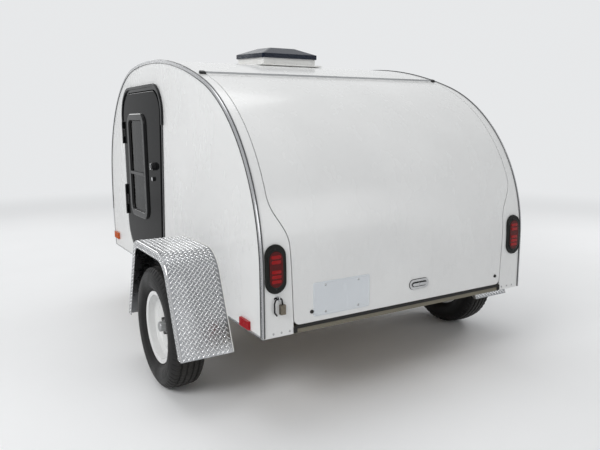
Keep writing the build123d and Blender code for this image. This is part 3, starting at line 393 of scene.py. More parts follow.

# %% [markdown]
# ## White sheet and painted parts
#
# The body is gloss white aluminium sheet. Sheet is never quite flat: over the frame it stands in slow
# waves that bend its reflections, so the bump has a broad part as well as a fine one. The hinge on
# the roof is the same sheet's extrusion, white all over: a grey band on its barrel is painted shade,
# the dark line along its gap. The two could be split into two parts, but distance from the hinge
# line tells them apart well enough.

# %% White finishes
WHITE = (0.80, 0.805, 0.80)
white_skin = finish(
    "white_skin", WHITE, 0.27, dust=0.12, streaks=0.004, smudges=0.01, grain=0.0, waves=1.0, bump=0.0016,
    coat_weight=0.25, coat_roughness=0.12,
)
white_wheel = finish("white_wheel", WHITE, 0.26, dust=0.12, coat_weight=0.3)
blank_plate = finish("blank_plate", (0.70, 0.735, 0.77), 0.22, dust=0.1, grain=0.2, coat_weight=0.3)
vent_white = finish("vent_white", (0.78, 0.78, 0.76), 0.42, dust=0.15, streaks=0.2, grain=0.6)
# The sill's dark olive colour is painted reflection: the dark ground mirrored in its metal.
sill_painted_reflection = finish(
    "sill", (0.185, 0.170, 0.130), 0.5, dust=0.1, streaks=0.1, grain=0.8, bump=0.0003, specular_ior_level=0.2
)

HINGE_LINE, BARREL = (-0.978507, 0.0, 1.546166), (0.0058, 0.0066)
hinge_white_and_painted_shade = finish("hinge_white_and_painted_shade", (0.8, 0.8, 0.8), 0.3, dust=0.0)
tree = hinge_white_and_painted_shade.node_tree
# The grey band at the barrel is painted shade: the dark line along the hinge's gap.
flange_share = soft_step(tree, distance(tree, placed(tree, (1, 0, 1), HINGE_LINE)), *BARREL)
recolour(hinge_white_and_painted_shade, mix_colour(tree, flange_share, (0.42, 0.43, 0.44), WHITE))

WHEEL_X, WHEEL_Y, WHEEL_Z = -0.9607, 0.957, 0.305


def wheel_radius(tree):
    """Distance from the axle's line, the same for the left and right wheel."""
    return distance(tree, placed(tree, (1, 0, 1), (WHEEL_X, 0.0, WHEEL_Z)))


tree = white_wheel.node_tree
near_hub = soft_step(tree, wheel_radius(tree), 0.125, 0.05)
brake_dust = times(tree, times(tree, near_hub, noise(tree, placed(tree), 70, 5, 0.7)), 0.45)
recolour(white_wheel, mix_colour(tree, brake_dust, WHITE, (0.25, 0.22, 0.19)))
print("white finishes", white_skin.name, white_wheel.name, hinge_white_and_painted_shade.name)

# %% [markdown]
# ## Black parts
#
# Several blacks meet on this trailer, and mostly their gloss tells them apart: the door's smooth
# panel, the satin of its fittings, the slightly pebbled enamel of the chassis, and the rubbers. A black
# with nothing in it loses all shape, so even the darkest keeps nearly one percent of the light. Their
# specular level is held low, because a pale studio turns a fully glossy black to grey.

# %% Black finishes
black_frame = finish(
    "black_frame", (0.009, 0.0095, 0.0105), 0.14, dust=0.01, smudges=0.05, grain=0.1, bump=0.0001,
    specular_ior_level=0.16,
)
smoked_panel = finish(
    "smoked_panel", (0.0075, 0.0078, 0.0082), 0.12, dust=0.01, smudges=0.05, grain=0.01, waves=0.35,
    bump=0.0006, specular_ior_level=0.03,
)
black_fittings = finish(
    "black_fittings", (0.016, 0.016, 0.017), 0.3, dust=0.04, grain=0.9, specular_ior_level=0.35
)
chassis_black = finish("chassis_black", (0.016, 0.016, 0.016), 0.38, dust=0.2, grain=1.3, bump=0.0004)
strut_black = finish("strut_black", (0.02, 0.02, 0.021), 0.3, dust=0.1, grain=0.5)
seal_rubber = finish(
    "seal_rubber", (0.015, 0.015, 0.015), 0.5, dust=0.03, streaks=0.02, grain=1.0, specular_ior_level=0.2
)
grommet_rubber = finish(
    "grommet_rubber", (0.013, 0.014, 0.013), 0.18, dust=0.0, grain=0.5, specular_ior_level=0.16
)

tree = chassis_black.node_tree
rust = soft_step(tree, noise(tree, placed(tree), 34, 6, 0.75), 0.72, 0.8)
recolour(chassis_black, mix_colour(tree, times(tree, rust, 0.6), (0.018, 0.018, 0.018), (0.16, 0.07, 0.035)))

tyre_rubber = finish(
    "tyre", (0.012, 0.012, 0.0125), 0.5, dust=0.03, smudges=0.1, grain=0.5, bump=0.0006,
    specular_ior_level=0.16,
)
tree = tyre_rubber.node_tree
around = wheel_radius(tree)
ribs = calc(tree, "SINE", times(tree, around, 1500.0))
on_wall = times(tree, soft_step(tree, around, 0.205, 0.215), soft_step(tree, around, 0.262, 0.252))
carve(tyre_rubber, times(tree, times(tree, ribs, on_wall), 0.35))
worn = times(tree, soft_step(tree, around, 0.292, 0.303), 0.35)
recolour(tyre_rubber, mix_colour(tree, worn, (0.014, 0.014, 0.0145), (0.050, 0.047, 0.043)))
print("black finishes", black_frame.name, chassis_black.name, tyre_rubber.name)

# %% [markdown]
# ## Bright metal
#
# The fender's tread plate is bright mill aluminium that the road has dulled in patches. The body's
# edge trim is drawn, so its lines run along it. Hitch and jack are zinc plated, handle and staple are
# chromed, and the padlock is worn brass. Nearly all are full metals: their colour is the colour of
# their reflection, and it is the roughness map that makes them look used.

# %% Metal helpers
def metal(name, colour, roughness, pattern, spread, **marks_of):
    """A metal whose tone and roughness follow a pattern between 0 and 1."""
    material = finish(name, colour, roughness, metallic=1.0, **marks_of)
    tree, _, marked, _ = parts_of(material)
    tone = pattern(tree)
    recolour(material, mix_colour(tree, tone, tuple(c * 0.72 for c in colour), colour))
    polish = soft_step(tree, tone, 0.25, 0.75, roughness + spread, roughness)
    tree.links.new(polish, marked.inputs["Roughness"])
    return material


def lines_along(stretch, scale):
    return lambda tree: group_node(tree, brushed, {"Stretch": stretch, "Scale": scale})["Lines"]


def crystal_tone(scale):
    return lambda tree: group_node(tree, crystals, {"Scale": scale})["Tone"]


def scuffed(tree):
    """Dull patches with scratches through them."""
    patches = noise(tree, placed(tree), 9, 5, 0.65)
    return plus(tree, times(tree, patches, 0.65), times(tree, lines_along((60, 6, 9), 9.0)(tree), 0.35))


print("metal helpers", metal.__name__, lines_along.__name__, crystal_tone.__name__, scuffed.__name__)

# %% [markdown]
# Each metal's roughness falls from dull to polished as its pattern grows. The spread between the two is
# wide on plate that has been worked on and worn, and narrow on drawn trim.

# %% Metals
# The sheet's dark tone and the ridges' bright copy of the same metal are painted shade and painted highlight;
# the scuffed patches in both are real wear.
tread_plate = metal(
    "tread_plate", (0.36, 0.37, 0.385), 0.17, scuffed, 0.22, dust=0.1, smudges=0.04, grain=0.2
)
tread_ridge_wear_and_highlight = metal(
    "tread_ridge_wear_and_highlight", (0.90, 0.905, 0.91), 0.12, scuffed, 0.16, dust=0.05, smudges=0.03, grain=0.1
)
bright_trim = metal(
    "bright_trim", (0.54, 0.545, 0.555), 0.22, lines_along((1, 60, 1), 6.0), 0.03,
    dust=0.02, smudges=0.02, grain=0.0,
)
zinc = metal("zinc", (0.52, 0.53, 0.54), 0.3, crystal_tone(130.0), 0.2, grain=0.4)
chrome = metal(
    "chrome", (0.62, 0.625, 0.635), 0.07, lines_along((1, 1, 1), 18.0), 0.07,
    dust=0.05, smudges=0.03, grain=0.1,
)
strut_steel = metal(
    "strut_steel", (0.70, 0.70, 0.71), 0.14, lines_along((1, 1, 1), 60.0), 0.1, dust=0.0, grain=0.1
)
brass_lock = metal(
    "brass_lock", (0.36, 0.31, 0.24), 0.34, lines_along((20, 20, 160), 5.0), 0.25, dust=0.1, grain=0.6
)
print("metals", tread_plate.name, bright_trim.name, zinc.name, chrome.name)

# %% [markdown]
# Two parts change their metal over a single piece: the hub has a bright cap in its black face, and
# the padlock has a dark steel shackle over its brass body. Where the change lies is read from the
# coordinates.

# %% Hub and padlock
CAP_START, CAP_REACH = 0.9828, 0.0275
hub_metal = finish("hub_metal", (0.03, 0.03, 0.03), 0.28, dust=0.05, grain=0.4, specular_ior_level=0.3)
tree, hub_shader, _, _ = parts_of(hub_metal)
outward = calc(tree, "ABSOLUTE", axis_of(tree, "Y"))
within = calc(tree, "LESS_THAN", wheel_radius(tree), CAP_REACH)
on_cap = times(tree, calc(tree, "GREATER_THAN", outward, CAP_START), within)
recolour(hub_metal, mix_colour(tree, on_cap, (0.014, 0.014, 0.015), (0.40, 0.405, 0.41)))
tree.links.new(on_cap, hub_shader.inputs["Metallic"])

SHACKLE_LOW, SHACKLE_HIGH, LOCK_EDGE = 0.5510, 0.5525, 0.7092
tree = brass_lock.node_tree
below = soft_step(tree, axis_of(tree, "Z"), SHACKLE_HIGH, SHACKLE_LOW)
on_body = times(tree, below, calc(tree, "LESS_THAN", axis_of(tree, "Y"), LOCK_EDGE))
worn_brass = mix_colour(tree, noise(tree, placed(tree), 120, 4), (0.10, 0.088, 0.070), (0.24, 0.21, 0.165))
recolour(brass_lock, mix_colour(tree, on_body, (0.03, 0.03, 0.032), worn_brass))
print("cap beyond", CAP_START, "m, lock body below", SHACKLE_LOW, "m")

# %% [markdown]
# ## Wood, glass and lenses
#
# The galley is varnished birch plywood and the floor is sealed sheathing ply. The door's window and
# the vent's lid are dark transparent sheets, so they are real glass in the shader and the cabin shows
# through them. A lamp's lens is thick clear plastic with small prisms moulded into its back: those
# are too many for geometry, so two crossed waves bend its normals.

# %% Wood and clear finishes
def ply(name, light, dark, stretch, dust):
    material = finish(name, light, 0.45, dust=dust, bump=0.0003, coat_weight=0.15)
    tree, _, marked, _ = parts_of(material)
    wood = group_node(tree, grain, {"Light": opaque(light), "Dark": opaque(dark), "Stretch": stretch})
    recolour(material, wood["Colour"])
    tree.links.new(wood["Roughness"], marked.inputs["Roughness"])
    carve(material, wood["Height"])
    return material


birch_ply = ply("birch_ply", (0.66, 0.50, 0.32), (0.50, 0.34, 0.19), (2.5, 1, 9), 0.0)
deck_ply = ply("deck_ply", (0.42, 0.32, 0.20), (0.25, 0.17, 0.10), (9, 1, 2.5), 0.7)


def lens(name, colour, prism):
    """Clear coloured plastic over small prisms: the height of the bump is
    sin(2 pi (x + y) / prism) times sin(2 pi z / prism)."""
    material = finish(
        name, colour, 0.12, dust=0.02, smudges=0.03, grain=0.1, bump=0.0004, specular_ior_level=0.2
    )
    tree = material.node_tree
    level = plus(tree, axis_of(tree, "X"), axis_of(tree, "Y"))
    ways = level, axis_of(tree, "Z")
    prisms = times(tree, *(calc(tree, "SINE", times(tree, way, 2 * math.pi / prism)) for way in ways))
    carve(material, prisms)
    # Painted shade: the colour falls to 0.45 of itself in the prisms' troughs.
    deep = tuple(c * 0.45 for c in colour)
    recolour(material, mix_colour(tree, soft_step(tree, prisms, -0.4, 0.8), deep, colour))
    return material


red_lens = lens("red_lens", (0.13, 0.001, 0.002), 0.007)
marker_red = lens("marker_red", (0.55, 0.010, 0.020), 0.007)
amber_lens = lens("amber_lens", (0.86, 0.15, 0.02), 0.007)
lit_red = lens("lit_red", (0.48, 0.003, 0.006), 0.005)
tinted_glass = finish(
    "tinted_glass", (0.17, 0.18, 0.185), 0.05, dust=0.0, smudges=0.01, grain=0.05, bump=0.0001,
    transmission_weight=1.0, ior=1.16,
)
vent_smoke = finish(
    "vent_smoke", (0.016, 0.024, 0.045), 0.13, dust=0.0, smudges=0.05, grain=0.1, bump=0.0001,
    transmission_weight=0.4, ior=1.2,
)
print("clear finishes", red_lens.name, tinted_glass.name, vent_smoke.name)

# %% [markdown]
# ## Put the finishes on the frame's parts
#
# Each part of the frame carries a named material slot. Swapping the slot's material keeps the part's
# mesh and place as they are, and only the look changes. A part takes the look of the longest word
# below that its name starts with.

# %% Assign
LOOKS = {
    white_skin: "side_wall roof_shell hatch rear_corner", sill_painted_reflection: "rear_sill", deck_ply: "floor_deck",
    birch_ply: "galley", bright_trim: "edge_trim", hinge_white_and_painted_shade: "hinge", seal_rubber: "hatch_seal",
    chrome: "hatch_handle lock_staple", blank_plate: "licence_plate", brass_lock: "padlock",
    smoked_panel: "door_", black_frame: "window_frame door_jamb drip_cap", tinted_glass: "window_glass",
    black_fittings: "door_fittings", vent_white: "vent_base", vent_smoke: "vent_lid",
    chassis_black: "frame_rails crossmembers tongue axle_beam suspension_arms", zinc: "coupler jack",
    tread_plate: "fender", tyre_rubber: "tyre", white_wheel: "wheel_rim", hub_metal: "wheel_hub",
    grommet_rubber: "light_grommets", red_lens: "light_lenses", marker_red: "rear_markers",
    amber_lens: "front_markers", strut_black: "strut_tube",
    strut_steel: "strut_rod strut_wall_studs strut_hatch_studs",
}
look_of = {word: look for look, words in LOOKS.items() for word in words.split()}
for name, part in nodes.items():
    start = max((word for word in look_of if name.startswith(word)), key=len)
    for slot in part.material_slots:
        slot.material = look_of[start]
print("parts dressed", len(nodes))

# %% [markdown]
# ## Shapes from arrays
#
# Every new piece below is worked out with numpy and put into a mesh at once. A shape is a pair: an
# array of points and an array of four-cornered faces that index it. A grid of points, row by row,
# has its faces in the same order, and where it closes on itself the last row joins the first.

# %% Grids
FORWARD, LEFT, UPWARD = np.eye(3)


def grid(points, wrap_rows=False, wrap_columns=False):
    """A shape from rows x columns x 3 points: each face joins a point to the next in its row and column."""
    rows, columns = points.shape[:2]
    last_row, last_column = rows - (not wrap_rows), columns - (not wrap_columns)
    r, c = np.meshgrid(np.arange(last_row), np.arange(last_column), indexing="ij")
    r2, c2 = (r + 1) % rows, (c + 1) % columns
    faces = np.stack([r * columns + c, r * columns + c2, r2 * columns + c2, r2 * columns + c], -1)
    return points.reshape(-1, 3), faces.reshape(-1, 4)


def merged(shapes):
    """Several shapes as one: each one's faces count on from the points before it."""
    starts = np.cumsum([0] + [len(points) for points, _ in shapes[:-1]])
    faces = [faces + start for (_, faces), start in zip(shapes, starts)]
    return np.concatenate([points for points, _ in shapes]), np.concatenate(faces)


def sized(shape, scale):
    """The shape larger or smaller, by one number or by one for each axis."""
    return shape[0] * np.array(scale), shape[1]


def flipped(shape):
    """The shape on the trailer's other side: y becomes -y."""
    return sized(shape, (1, -1, 1))


def on_both(shape):
    return merged([shape, flipped(shape)])


print("grid helpers", [helper.__name__ for helper in (grid, merged, sized, flipped, on_both)])

# %% [markdown]
# A small shape such as a screw is made once, about the origin, and copied to its places. Each place has
# a frame, three directions that say where the copy's own axes point.

# %% Copies
def frames_on(normals, along):
    """One 3 x 3 frame per place, its columns being along, normal x along and normal."""
    normals, along = np.broadcast_arrays(np.asarray(normals, float), np.asarray(along, float))
    along = along / np.linalg.norm(along, axis=-1, keepdims=True)
    return np.stack([along, np.cross(normals, along), normals], -1)


def scattered(shape, places, frames):
    """Copies of a small shape: its point p goes to place + frame @ p."""
    points, faces = shape
    places = np.atleast_2d(places)
    frames = np.broadcast_to(frames, (len(places), 3, 3))
    spread = places[:, None, :] + np.einsum("kij,nj->kni", frames, points)
    shifts = np.arange(len(places)) * len(points)
    return spread.reshape(-1, 3), (faces[None] + shifts[:, None, None]).reshape(-1, 4)


print("copy helpers", frames_on.__name__, scattered.__name__)

# %% [markdown]
# A shape becomes a piece in one step. Points that coincide, as at a pole, are merged, the shell's
# faces are turned outwards, and edges sharper than the crease angle stay sharp. Most side pieces are
# worked out on the left, and the right ones are the same with y turned over.

# %% Meshes
def surface(name, shape, material, body, slot, crease=35.0):
    """Put a shape into a mesh, weld it, face it outwards, and let it ride on a body."""
    points, faces = shape
    mesh = bpy.data.meshes.new(name)
    mesh.vertices.add(len(points))
    mesh.vertices.foreach_set("co", points.astype(np.float32).ravel())
    mesh.loops.add(faces.size)
    mesh.loops.foreach_set("vertex_index", faces.astype(np.int32).ravel())
    mesh.polygons.add(len(faces))
    mesh.polygons.foreach_set("loop_start", np.arange(0, faces.size, 4, dtype=np.int32))
    mesh.update(calc_edges=True)
    shell = bmesh.new()
    shell.from_mesh(mesh)
    bmesh.ops.remove_doubles(shell, verts=shell.verts, dist=1e-6)
    bmesh.ops.recalc_face_normals(shell, faces=shell.faces)
    shell.to_mesh(mesh)
    shell.free()
    mesh.shade_smooth()
    mesh.set_sharp_from_angle(angle=math.radians(crease))
    mesh.materials.append(material)
    piece = bpy.data.objects.new(name, mesh)
    scene.collection.objects.link(piece)
    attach(piece, body)
    print(name, len(mesh.polygons), "faces")
    return piece


def both_sides(name, shape, material, slot, body=None, crease=35.0):
    """A left piece and its mirror image. Each rides on its own side's body, or on the trailer."""
    pieces = {}
    for word, side_shape in (("left", shape), ("right", flipped(shape))):
        carrier = f"{body}_{word}" if body else "trailer"
        pieces[word] = surface(f"{name}_{word}", side_shape, material, carrier, slot, crease)
    return pieces


print("mesh helpers", surface.__name__, both_sides.__name__)

# %% [markdown]
# ## Lines to build along
#
# Trim, beads and tread follow lines: the body's side, the fender's bend, the window's rounded
# corners. A line is an array of points with the normal on its left. Between its points any place
# along it is found by interpolation over its length, which works for runs and bends alike.

# %% Lines
BEND_STEP = math.radians(5)


def unit(vector):
    return vector / np.linalg.norm(vector)


def filleted(corners, closed=False):
    """A line through (u, v, radius) corners, with the unit normals on its left. A bend of radius r
    touches each run r tan(turn / 2) from its corner, and turns about a point r from both."""
    corners = np.array(corners, float)
    spots, points, normals = corners[:, :2], [], []
    for k, radius in enumerate(corners[:, 2]):
        if not closed and k in (0, len(spots) - 1):
            run = unit(spots[1] - spots[0]) if k == 0 else unit(spots[-1] - spots[-2])
            points.append(spots[k][None])
            normals.append(np.array([[-run[1], run[0]]]))
            continue
        before, after = unit(spots[k] - spots[k - 1]), unit(spots[(k + 1) % len(spots)] - spots[k])
        turn = math.atan2(before[0] * after[1] - before[1] * after[0], before @ after)
        left = np.array([-before[1], before[0]])
        start = spots[k] - before * radius * math.tan(abs(turn) / 2)
        centre = start + left * radius * np.sign(turn)
        angle = np.linspace(0, turn, int(abs(turn) / BEND_STEP) + 3)[:, None]
        from_centre, normal = (
            np.cos(angle) * v + np.sin(angle) * np.array([-v[1], v[0]]) for v in (start - centre, left)
        )
        points.append(centre + from_centre)
        normals.append(normal)
    points, normals = np.concatenate(points), np.concatenate(normals)
    if closed:
        points, normals = np.concatenate([points, points[:1]]), np.concatenate([normals, normals[:1]])
    return points, normals


print("bends are drawn every", round(math.degrees(BEND_STEP)), "degrees")

# %% [markdown]
# The line that comes back most is a rectangle with round corners: windows, plates and lamps all have it.

# %% Boxes, and places along a line
def box_line(wide, tall, radius):
    a, b = wide / 2, tall / 2
    return filleted([(-a, -b, radius), (-a, b, radius), (a, b, radius), (a, -b, radius)], closed=True)


def length_of(line):
    return np.concatenate([[0], np.cumsum(np.linalg.norm(np.diff(line[0], axis=0), axis=1))])


def walk(line, distances):
    """Places and unit normals at distances along a line, by interpolation over its length."""
    lengths = length_of(line)
    place, normal = (
        np.stack([np.interp(distances, lengths, part[:, k]) for k in (0, 1)], -1) for part in line
    )
    return place, normal / np.linalg.norm(normal, axis=-1, keepdims=True)


print("a 2 x 1 box with round corners is", round(length_of(box_line(2, 1, 0.1))[-1], 3), "round")

# %% [markdown]
# A tube is one small section carried along such a line and closed at its ends. A screw, knob or cap is
# a profile turned round its axis, and a plate is an outline in a few layers, each set in a little.

# %% Tubes, turned pieces and plates
def ring_of(radius, count=8, squash=1.0):
    angle = np.linspace(0, 2 * np.pi, count, endpoint=False)
    return np.stack([radius * np.cos(angle), radius * squash * np.sin(angle)], -1)


def tube(places, across, upward, section, closed=False, swell=1.0):
    """A closed section of (u, v) carried along places: each point is place + swell (u across + v upward)."""
    across, upward = (np.broadcast_to(v, places.shape) for v in (across, upward))
    spread = section[None, :, :1] * across[:, None] + section[None, :, 1:] * upward[:, None]
    points = places[:, None] + np.reshape(swell, (-1, 1, 1)) * spread
    if closed:
        return grid(points, wrap_rows=True, wrap_columns=True)
    ends = [np.broadcast_to(points[k].mean(0), points[k].shape)[None] for k in (0, -1)]
    return grid(np.concatenate([ends[0], points, ends[1]]), wrap_columns=True)


def flat_loop(line, place, across, section):
    """A tube round a closed flat line: its (a, b) goes to place + across @ (a, b, 0)."""
    points, normals = (part[:-1] @ across[:, :2].T for part in line)
    return tube(place + points, normals, across[:, 2], section, closed=True)


def turned(profile, segments=12, closed=False):
    """A profile of (radius, height) turned round Z: (r cos a, r sin a, h)."""
    angle = np.linspace(0, 2 * np.pi, segments, endpoint=False)
    r, h = np.array(profile, float).T[:, :, None]
    points = np.stack([r * np.cos(angle), r * np.sin(angle), h + 0 * angle], -1)
    return grid(points, wrap_rows=closed, wrap_columns=True)


def slab(line, layers):
    """A plate in a closed line about the origin: each layer (inset, height) is the outline
    scaled in, and the first and last close in a pole at the middle."""
    outline = line[0][:-1]
    insets, heights = np.array(layers)[[0, *range(len(layers)), -1]].T
    scales = 1 - insets[:, None] / np.abs(outline).max(0)
    scales[[0, -1]] = 0
    flat = outline[None] * scales[:, None]
    return grid(np.concatenate([flat, heights[:, None, None] + 0 * flat[:, :, :1]], -1), wrap_columns=True)


SCREW = turned([
    (0, -0.2), (1, -0.2), (1, 0.1), (0.84, 0.34), (0.5, 0.5), (0.3, 0.54), (0.26, 0.25), (0, 0.22)
])
BOLT = turned([(0, -0.05), (1, -0.05), (1, 0.58), (0.86, 0.7), (0, 0.7)], 6)
print("screw", len(SCREW[1]), "faces, bolt", len(BOLT[1]), "faces")

# %% [markdown]
# ## The side line
#
# The body's side is the line that everything on it follows: straight up at the rear, then four arcs,
# each tangent to the last, down to the nose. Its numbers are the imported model's own. On an arc of
# radius r about c, the surface where the slope is a lies at c + r (-sin a, cos a), and that same
# vector is its outward normal.

# %% Side line
STATION_ZERO, BODY_FOOT, HALF = -1.6507, 0.41, 0.7875
REAR_STRAIGHT = 0.27841
SIDE_ARCS = ((0.870, 90, 20), (2.48823, 20, -6), (0.790, -6, -83), (2.000, -83, -90.9))
line_points = [np.array([[STATION_ZERO, BODY_FOOT], [STATION_ZERO, BODY_FOOT + REAR_STRAIGHT]])]
line_normals = [np.array([[-1.0, 0.0], [-1.0, 0.0]])]
for radius, first, last in SIDE_ARCS:
    slope = np.radians(np.linspace(first, last, int(abs(last - first) * 2) + 2))[:, None]
    spoke = np.concatenate([-np.sin(slope), np.cos(slope)], 1)
    centre = line_points[-1][-1] - radius * spoke[0]
    line_points.append(centre + radius * spoke[1:])
    line_normals.append(spoke[1:])
side_line = np.concatenate(line_points), np.concatenate(line_normals)
over_foot = side_line[0][:, 1] >= BODY_FOOT - 1e-4
side_line = side_line[0][over_foot], side_line[1][over_foot]
side_length = length_of(side_line)[-1]
print("side line", round(side_length, 4), "m, top", round(side_line[0][:, 1].max(), 4))

# %% [markdown]
# Small pieces are placed by the numbers that a builder would measure: how far ahead of the rear wall,
# how far from the middle, and how high over the body's foot.

# %% Places on the trailer
def at(station, y, height):
    return np.array([STATION_ZERO + station, y, BODY_FOOT + height])


def mirrored(spots):
    """Places on the left, and the same places on the right."""
    spots = np.atleast_2d(spots)
    return np.concatenate([spots, spots * (1, -1, 1)])


def in_space(line, y, out=0.0):
    """A side-view line as points at one y, moved out along its normal, with its normals."""
    x_z, normal = line[0] + line[1] * out, line[1]
    level = np.full(len(x_z), y)
    return np.stack([x_z[:, 0], level, x_z[:, 1]], -1), np.stack([normal[:, 0], 0 * level, normal[:, 1]], -1)


def rear_place(heights, y, out):
    """Where the rear skin is at each height over the ground, moved out, with its outward normals."""
    rising = slice(0, int(np.argmax(side_line[0][:, 1])) + 1)
    distances = np.interp(heights, side_line[0][rising, 1], length_of(side_line)[rising])
    places, normals = in_space(walk(side_line, distances), 0.0, out)
    return places + np.reshape(y, (-1, 1)) * LEFT, normals


REAR_FRAME, SIDE_FRAME = frames_on(-FORWARD, LEFT), frames_on(LEFT, FORWARD)
print("foot of the rear wall", at(0, 0, 0))

# %% [markdown]
# ## Edge trim
#
# An aluminium corner trim closes the joint between side and roof. It reads as a bright band between
# two thin dark lines. The band is the frame's own part. The dark lines are two half-sunk dark tubes
# along the side line, one on each leg. A thin bright strip also finishes the side wall's bottom edge,
# before and behind the fender.

# %% Trim dark lines and bottom strips
DARK_EDGE_STEPS, DARK_EDGE_MARGIN = 260, 0.004
DARK_EDGES = ((HALF + 0.0016, -0.0135), (HALF - 0.0080, 0.0024))  # y, out from the side line
# Two thin dark tubes draw the dark lines along the trim's edges.
dark_edge_finish = finish("dark_edge_finish", (0.055, 0.057, 0.060), 0.35, dust=0.05)
dark_edge_walk = walk(side_line, np.linspace(DARK_EDGE_MARGIN, side_length - DARK_EDGE_MARGIN, DARK_EDGE_STEPS))
dark_edge_tubes = []
for y, out in DARK_EDGES:
    places, normals = in_space(dark_edge_walk, y, out)
    dark_edge_tubes.append(tube(places, LEFT, normals, ring_of(0.0030, 8, 0.8)))
both_sides("trim_dark_edges", merged(dark_edge_tubes), dark_edge_finish, "seal_rubber")

STRIP_RUNS = ((0.016, 0.347), (1.076, 2.372))
STRIP_SECTION = np.array([
    (-0.0002, 0), (0.0016, 0.0006), (0.0018, 0.004), (0.0016, 0.0084), (-0.0002, 0.009)
])
strips = []
for start, end in STRIP_RUNS:
    places = np.linspace(at(start, HALF, 0), at(end, HALF, 0), 12)
    strips.append(tube(places, LEFT, UPWARD, STRIP_SECTION))
both_sides("bottom_strip", merged(strips), bright_trim, "bright_trim")

# %% [markdown]
# ## Tread-plate fenders
#
# Tread plate is sheet with raised lozenges rolled into it, each turned a quarter from its neighbours.
# A bump could fake them, but they break the fender's outline and catch the light, so they are real:
# one lens-shaped cap of a few dozen faces, copied over the sheet. The sheet's side view is a line with
# two bends, so a place on it is a distance along that line and a distance out from the wall.

# %% Lozenges on the sheet and lip
FENDER_CORNERS = ((0.292, 0.260, 0), (0.472, 0.711, 0.150), (0.952, 0.711, 0.090), (1.129, 0.260, 0))
FENDER_LINE = filleted([(STATION_ZERO + station, z, radius) for station, z, radius in FENDER_CORNERS])
FENDER_IN, FENDER_OUT = HALF + 0.0003, 1.0440
LOZENGE_STEP, SHEET_ROWS, FIRST_ROW = 0.01175, 20, 0.016
LIP_ROWS = np.array([0.0085, 0.0195, 0.0305])
fender_length = length_of(FENDER_LINE)[-1]
cap = turned([(0, -0.3), (1, -0.3), (1, 0.0), (0.7, 0.75), (0.3, 1.0), (0, 1.05)], 8)
lozenge = sized(cap, (0.0112, 0.0030, 0.0015))


def checkered(columns, rows):
    """The dark squares of a chessboard, as (column, row), where column + row is even."""
    i, j = (part.ravel() for part in np.meshgrid(np.arange(1, columns), np.arange(rows), indexing="ij"))
    dark = (i + j) % 2 == 0
    return i[dark], j[dark]


def leaning(along, across, columns):
    """Directions that lean one way in even columns and a quarter turn from it in odd ones."""
    return (along + np.where(columns % 2 == 0, 1.0, -1.0)[:, None] * across) / math.sqrt(2)


def tread_lozenges():
    """Lozenge (i, j) stands i steps along the fender's line and j steps out from the wall.
    One points at the middle of the next, which leans the other way."""
    columns = int(fender_length / LOZENGE_STEP)
    i, j = checkered(columns, SHEET_ROWS)
    places, normals = in_space(walk(FENDER_LINE, i * LOZENGE_STEP), 0.0)
    places = places + (FENDER_IN + FIRST_ROW + j * LOZENGE_STEP)[:, None] * LEFT
    sheet = scattered(lozenge, places, frames_on(normals, leaning(np.cross(LEFT, normals), LEFT, i)))
    i, row = checkered(columns, len(LIP_ROWS))
    places, normals = in_space(walk(FENDER_LINE, i * LOZENGE_STEP), FENDER_OUT)
    places = places - normals * LIP_ROWS[row][:, None]
    small = sized(lozenge, (0.72, 0.9, 0.9))
    lip = scattered(small, places, frames_on(LEFT, leaning(np.cross(LEFT, normals), normals, i)))
    return merged([sheet, lip])


# The lozenges take the ridges' bright copy of the metal, a painted highlight.
both_sides("fender_lozenges", tread_lozenges(), tread_ridge_wear_and_highlight, "tread_plate", crease=50)

# %% [markdown]
# The sheet's outer corner is rolled over a wire into a bead, and a line of pale sealant closes the
# joint to the wall. The bead takes the brighter chrome finish, a painted highlight along the rolled
# edge. Both are tubes along the same line.

# %% Fender bead and sealant
BEAD_RADIUS, BEAD_IN, BEAD_DOWN = 0.0036, 0.0028, 0.0012
SEALANT_RADIUS, SEALANT_OUT, SEALANT_UP = 0.0022, 0.0016, 0.0008
BEAD_MARGIN, BEAD_STEPS = 0.002, 150
bead_walk = walk(FENDER_LINE, np.linspace(BEAD_MARGIN, fender_length - BEAD_MARGIN, BEAD_STEPS))
places, normals = in_space(bead_walk, FENDER_OUT - BEAD_IN, -BEAD_DOWN)
bead = tube(places, LEFT, normals, ring_of(BEAD_RADIUS, 10))
# Chrome on the rolled bead is a painted highlight of the same sheet metal.
both_sides("fender_bead", bead, chrome, "tread_plate")
places, normals = in_space(bead_walk, FENDER_IN + SEALANT_OUT, SEALANT_UP)
sealant = tube(places, LEFT, normals, ring_of(SEALANT_RADIUS))
both_sides("fender_sealant", sealant, vent_white, "vent_white")

# %% [markdown]
# ## Tyres
#
# The frame's tyres are smooth. Real ones have four grooves round the tread, fine cuts across its ribs
# and blocks at the shoulder. The tyre is one grid: each row is a point of its section, from bead to
# bead outside and back inside, and each column is an angle round the axle. The section is three arcs:
# crown, shoulder and wall.

# %% Tyre section
TREAD_EDGE, CROWN, SHOULDER, WIDEST = (0.064, 0.299), (0, 0.305), (0.0825, 0.271), (0.0884, 0.235)
LOWER_WALL, BEAD_TOP, BEAD_TOE = (0.0775, 0.201), (0.059, 0.184), (0.057, 0.1652)
GROOVES, GROOVE_WIDE, GROOVE_DEEP, GROOVE_EDGE = (-0.0435, -0.0150, 0.0150, 0.0435), 0.0036, 0.0065, 0.0012
WALL_RINGS, WALL_RING_HIGH, WALL_RING_WIDE = (0.256, 0.226, 0.198), 0.0012, 0.0022
CROWN_ROWS, TREAD_ROWS, SHOULDER_ROWS, WALL_ROWS = 60, 19, 24, 20


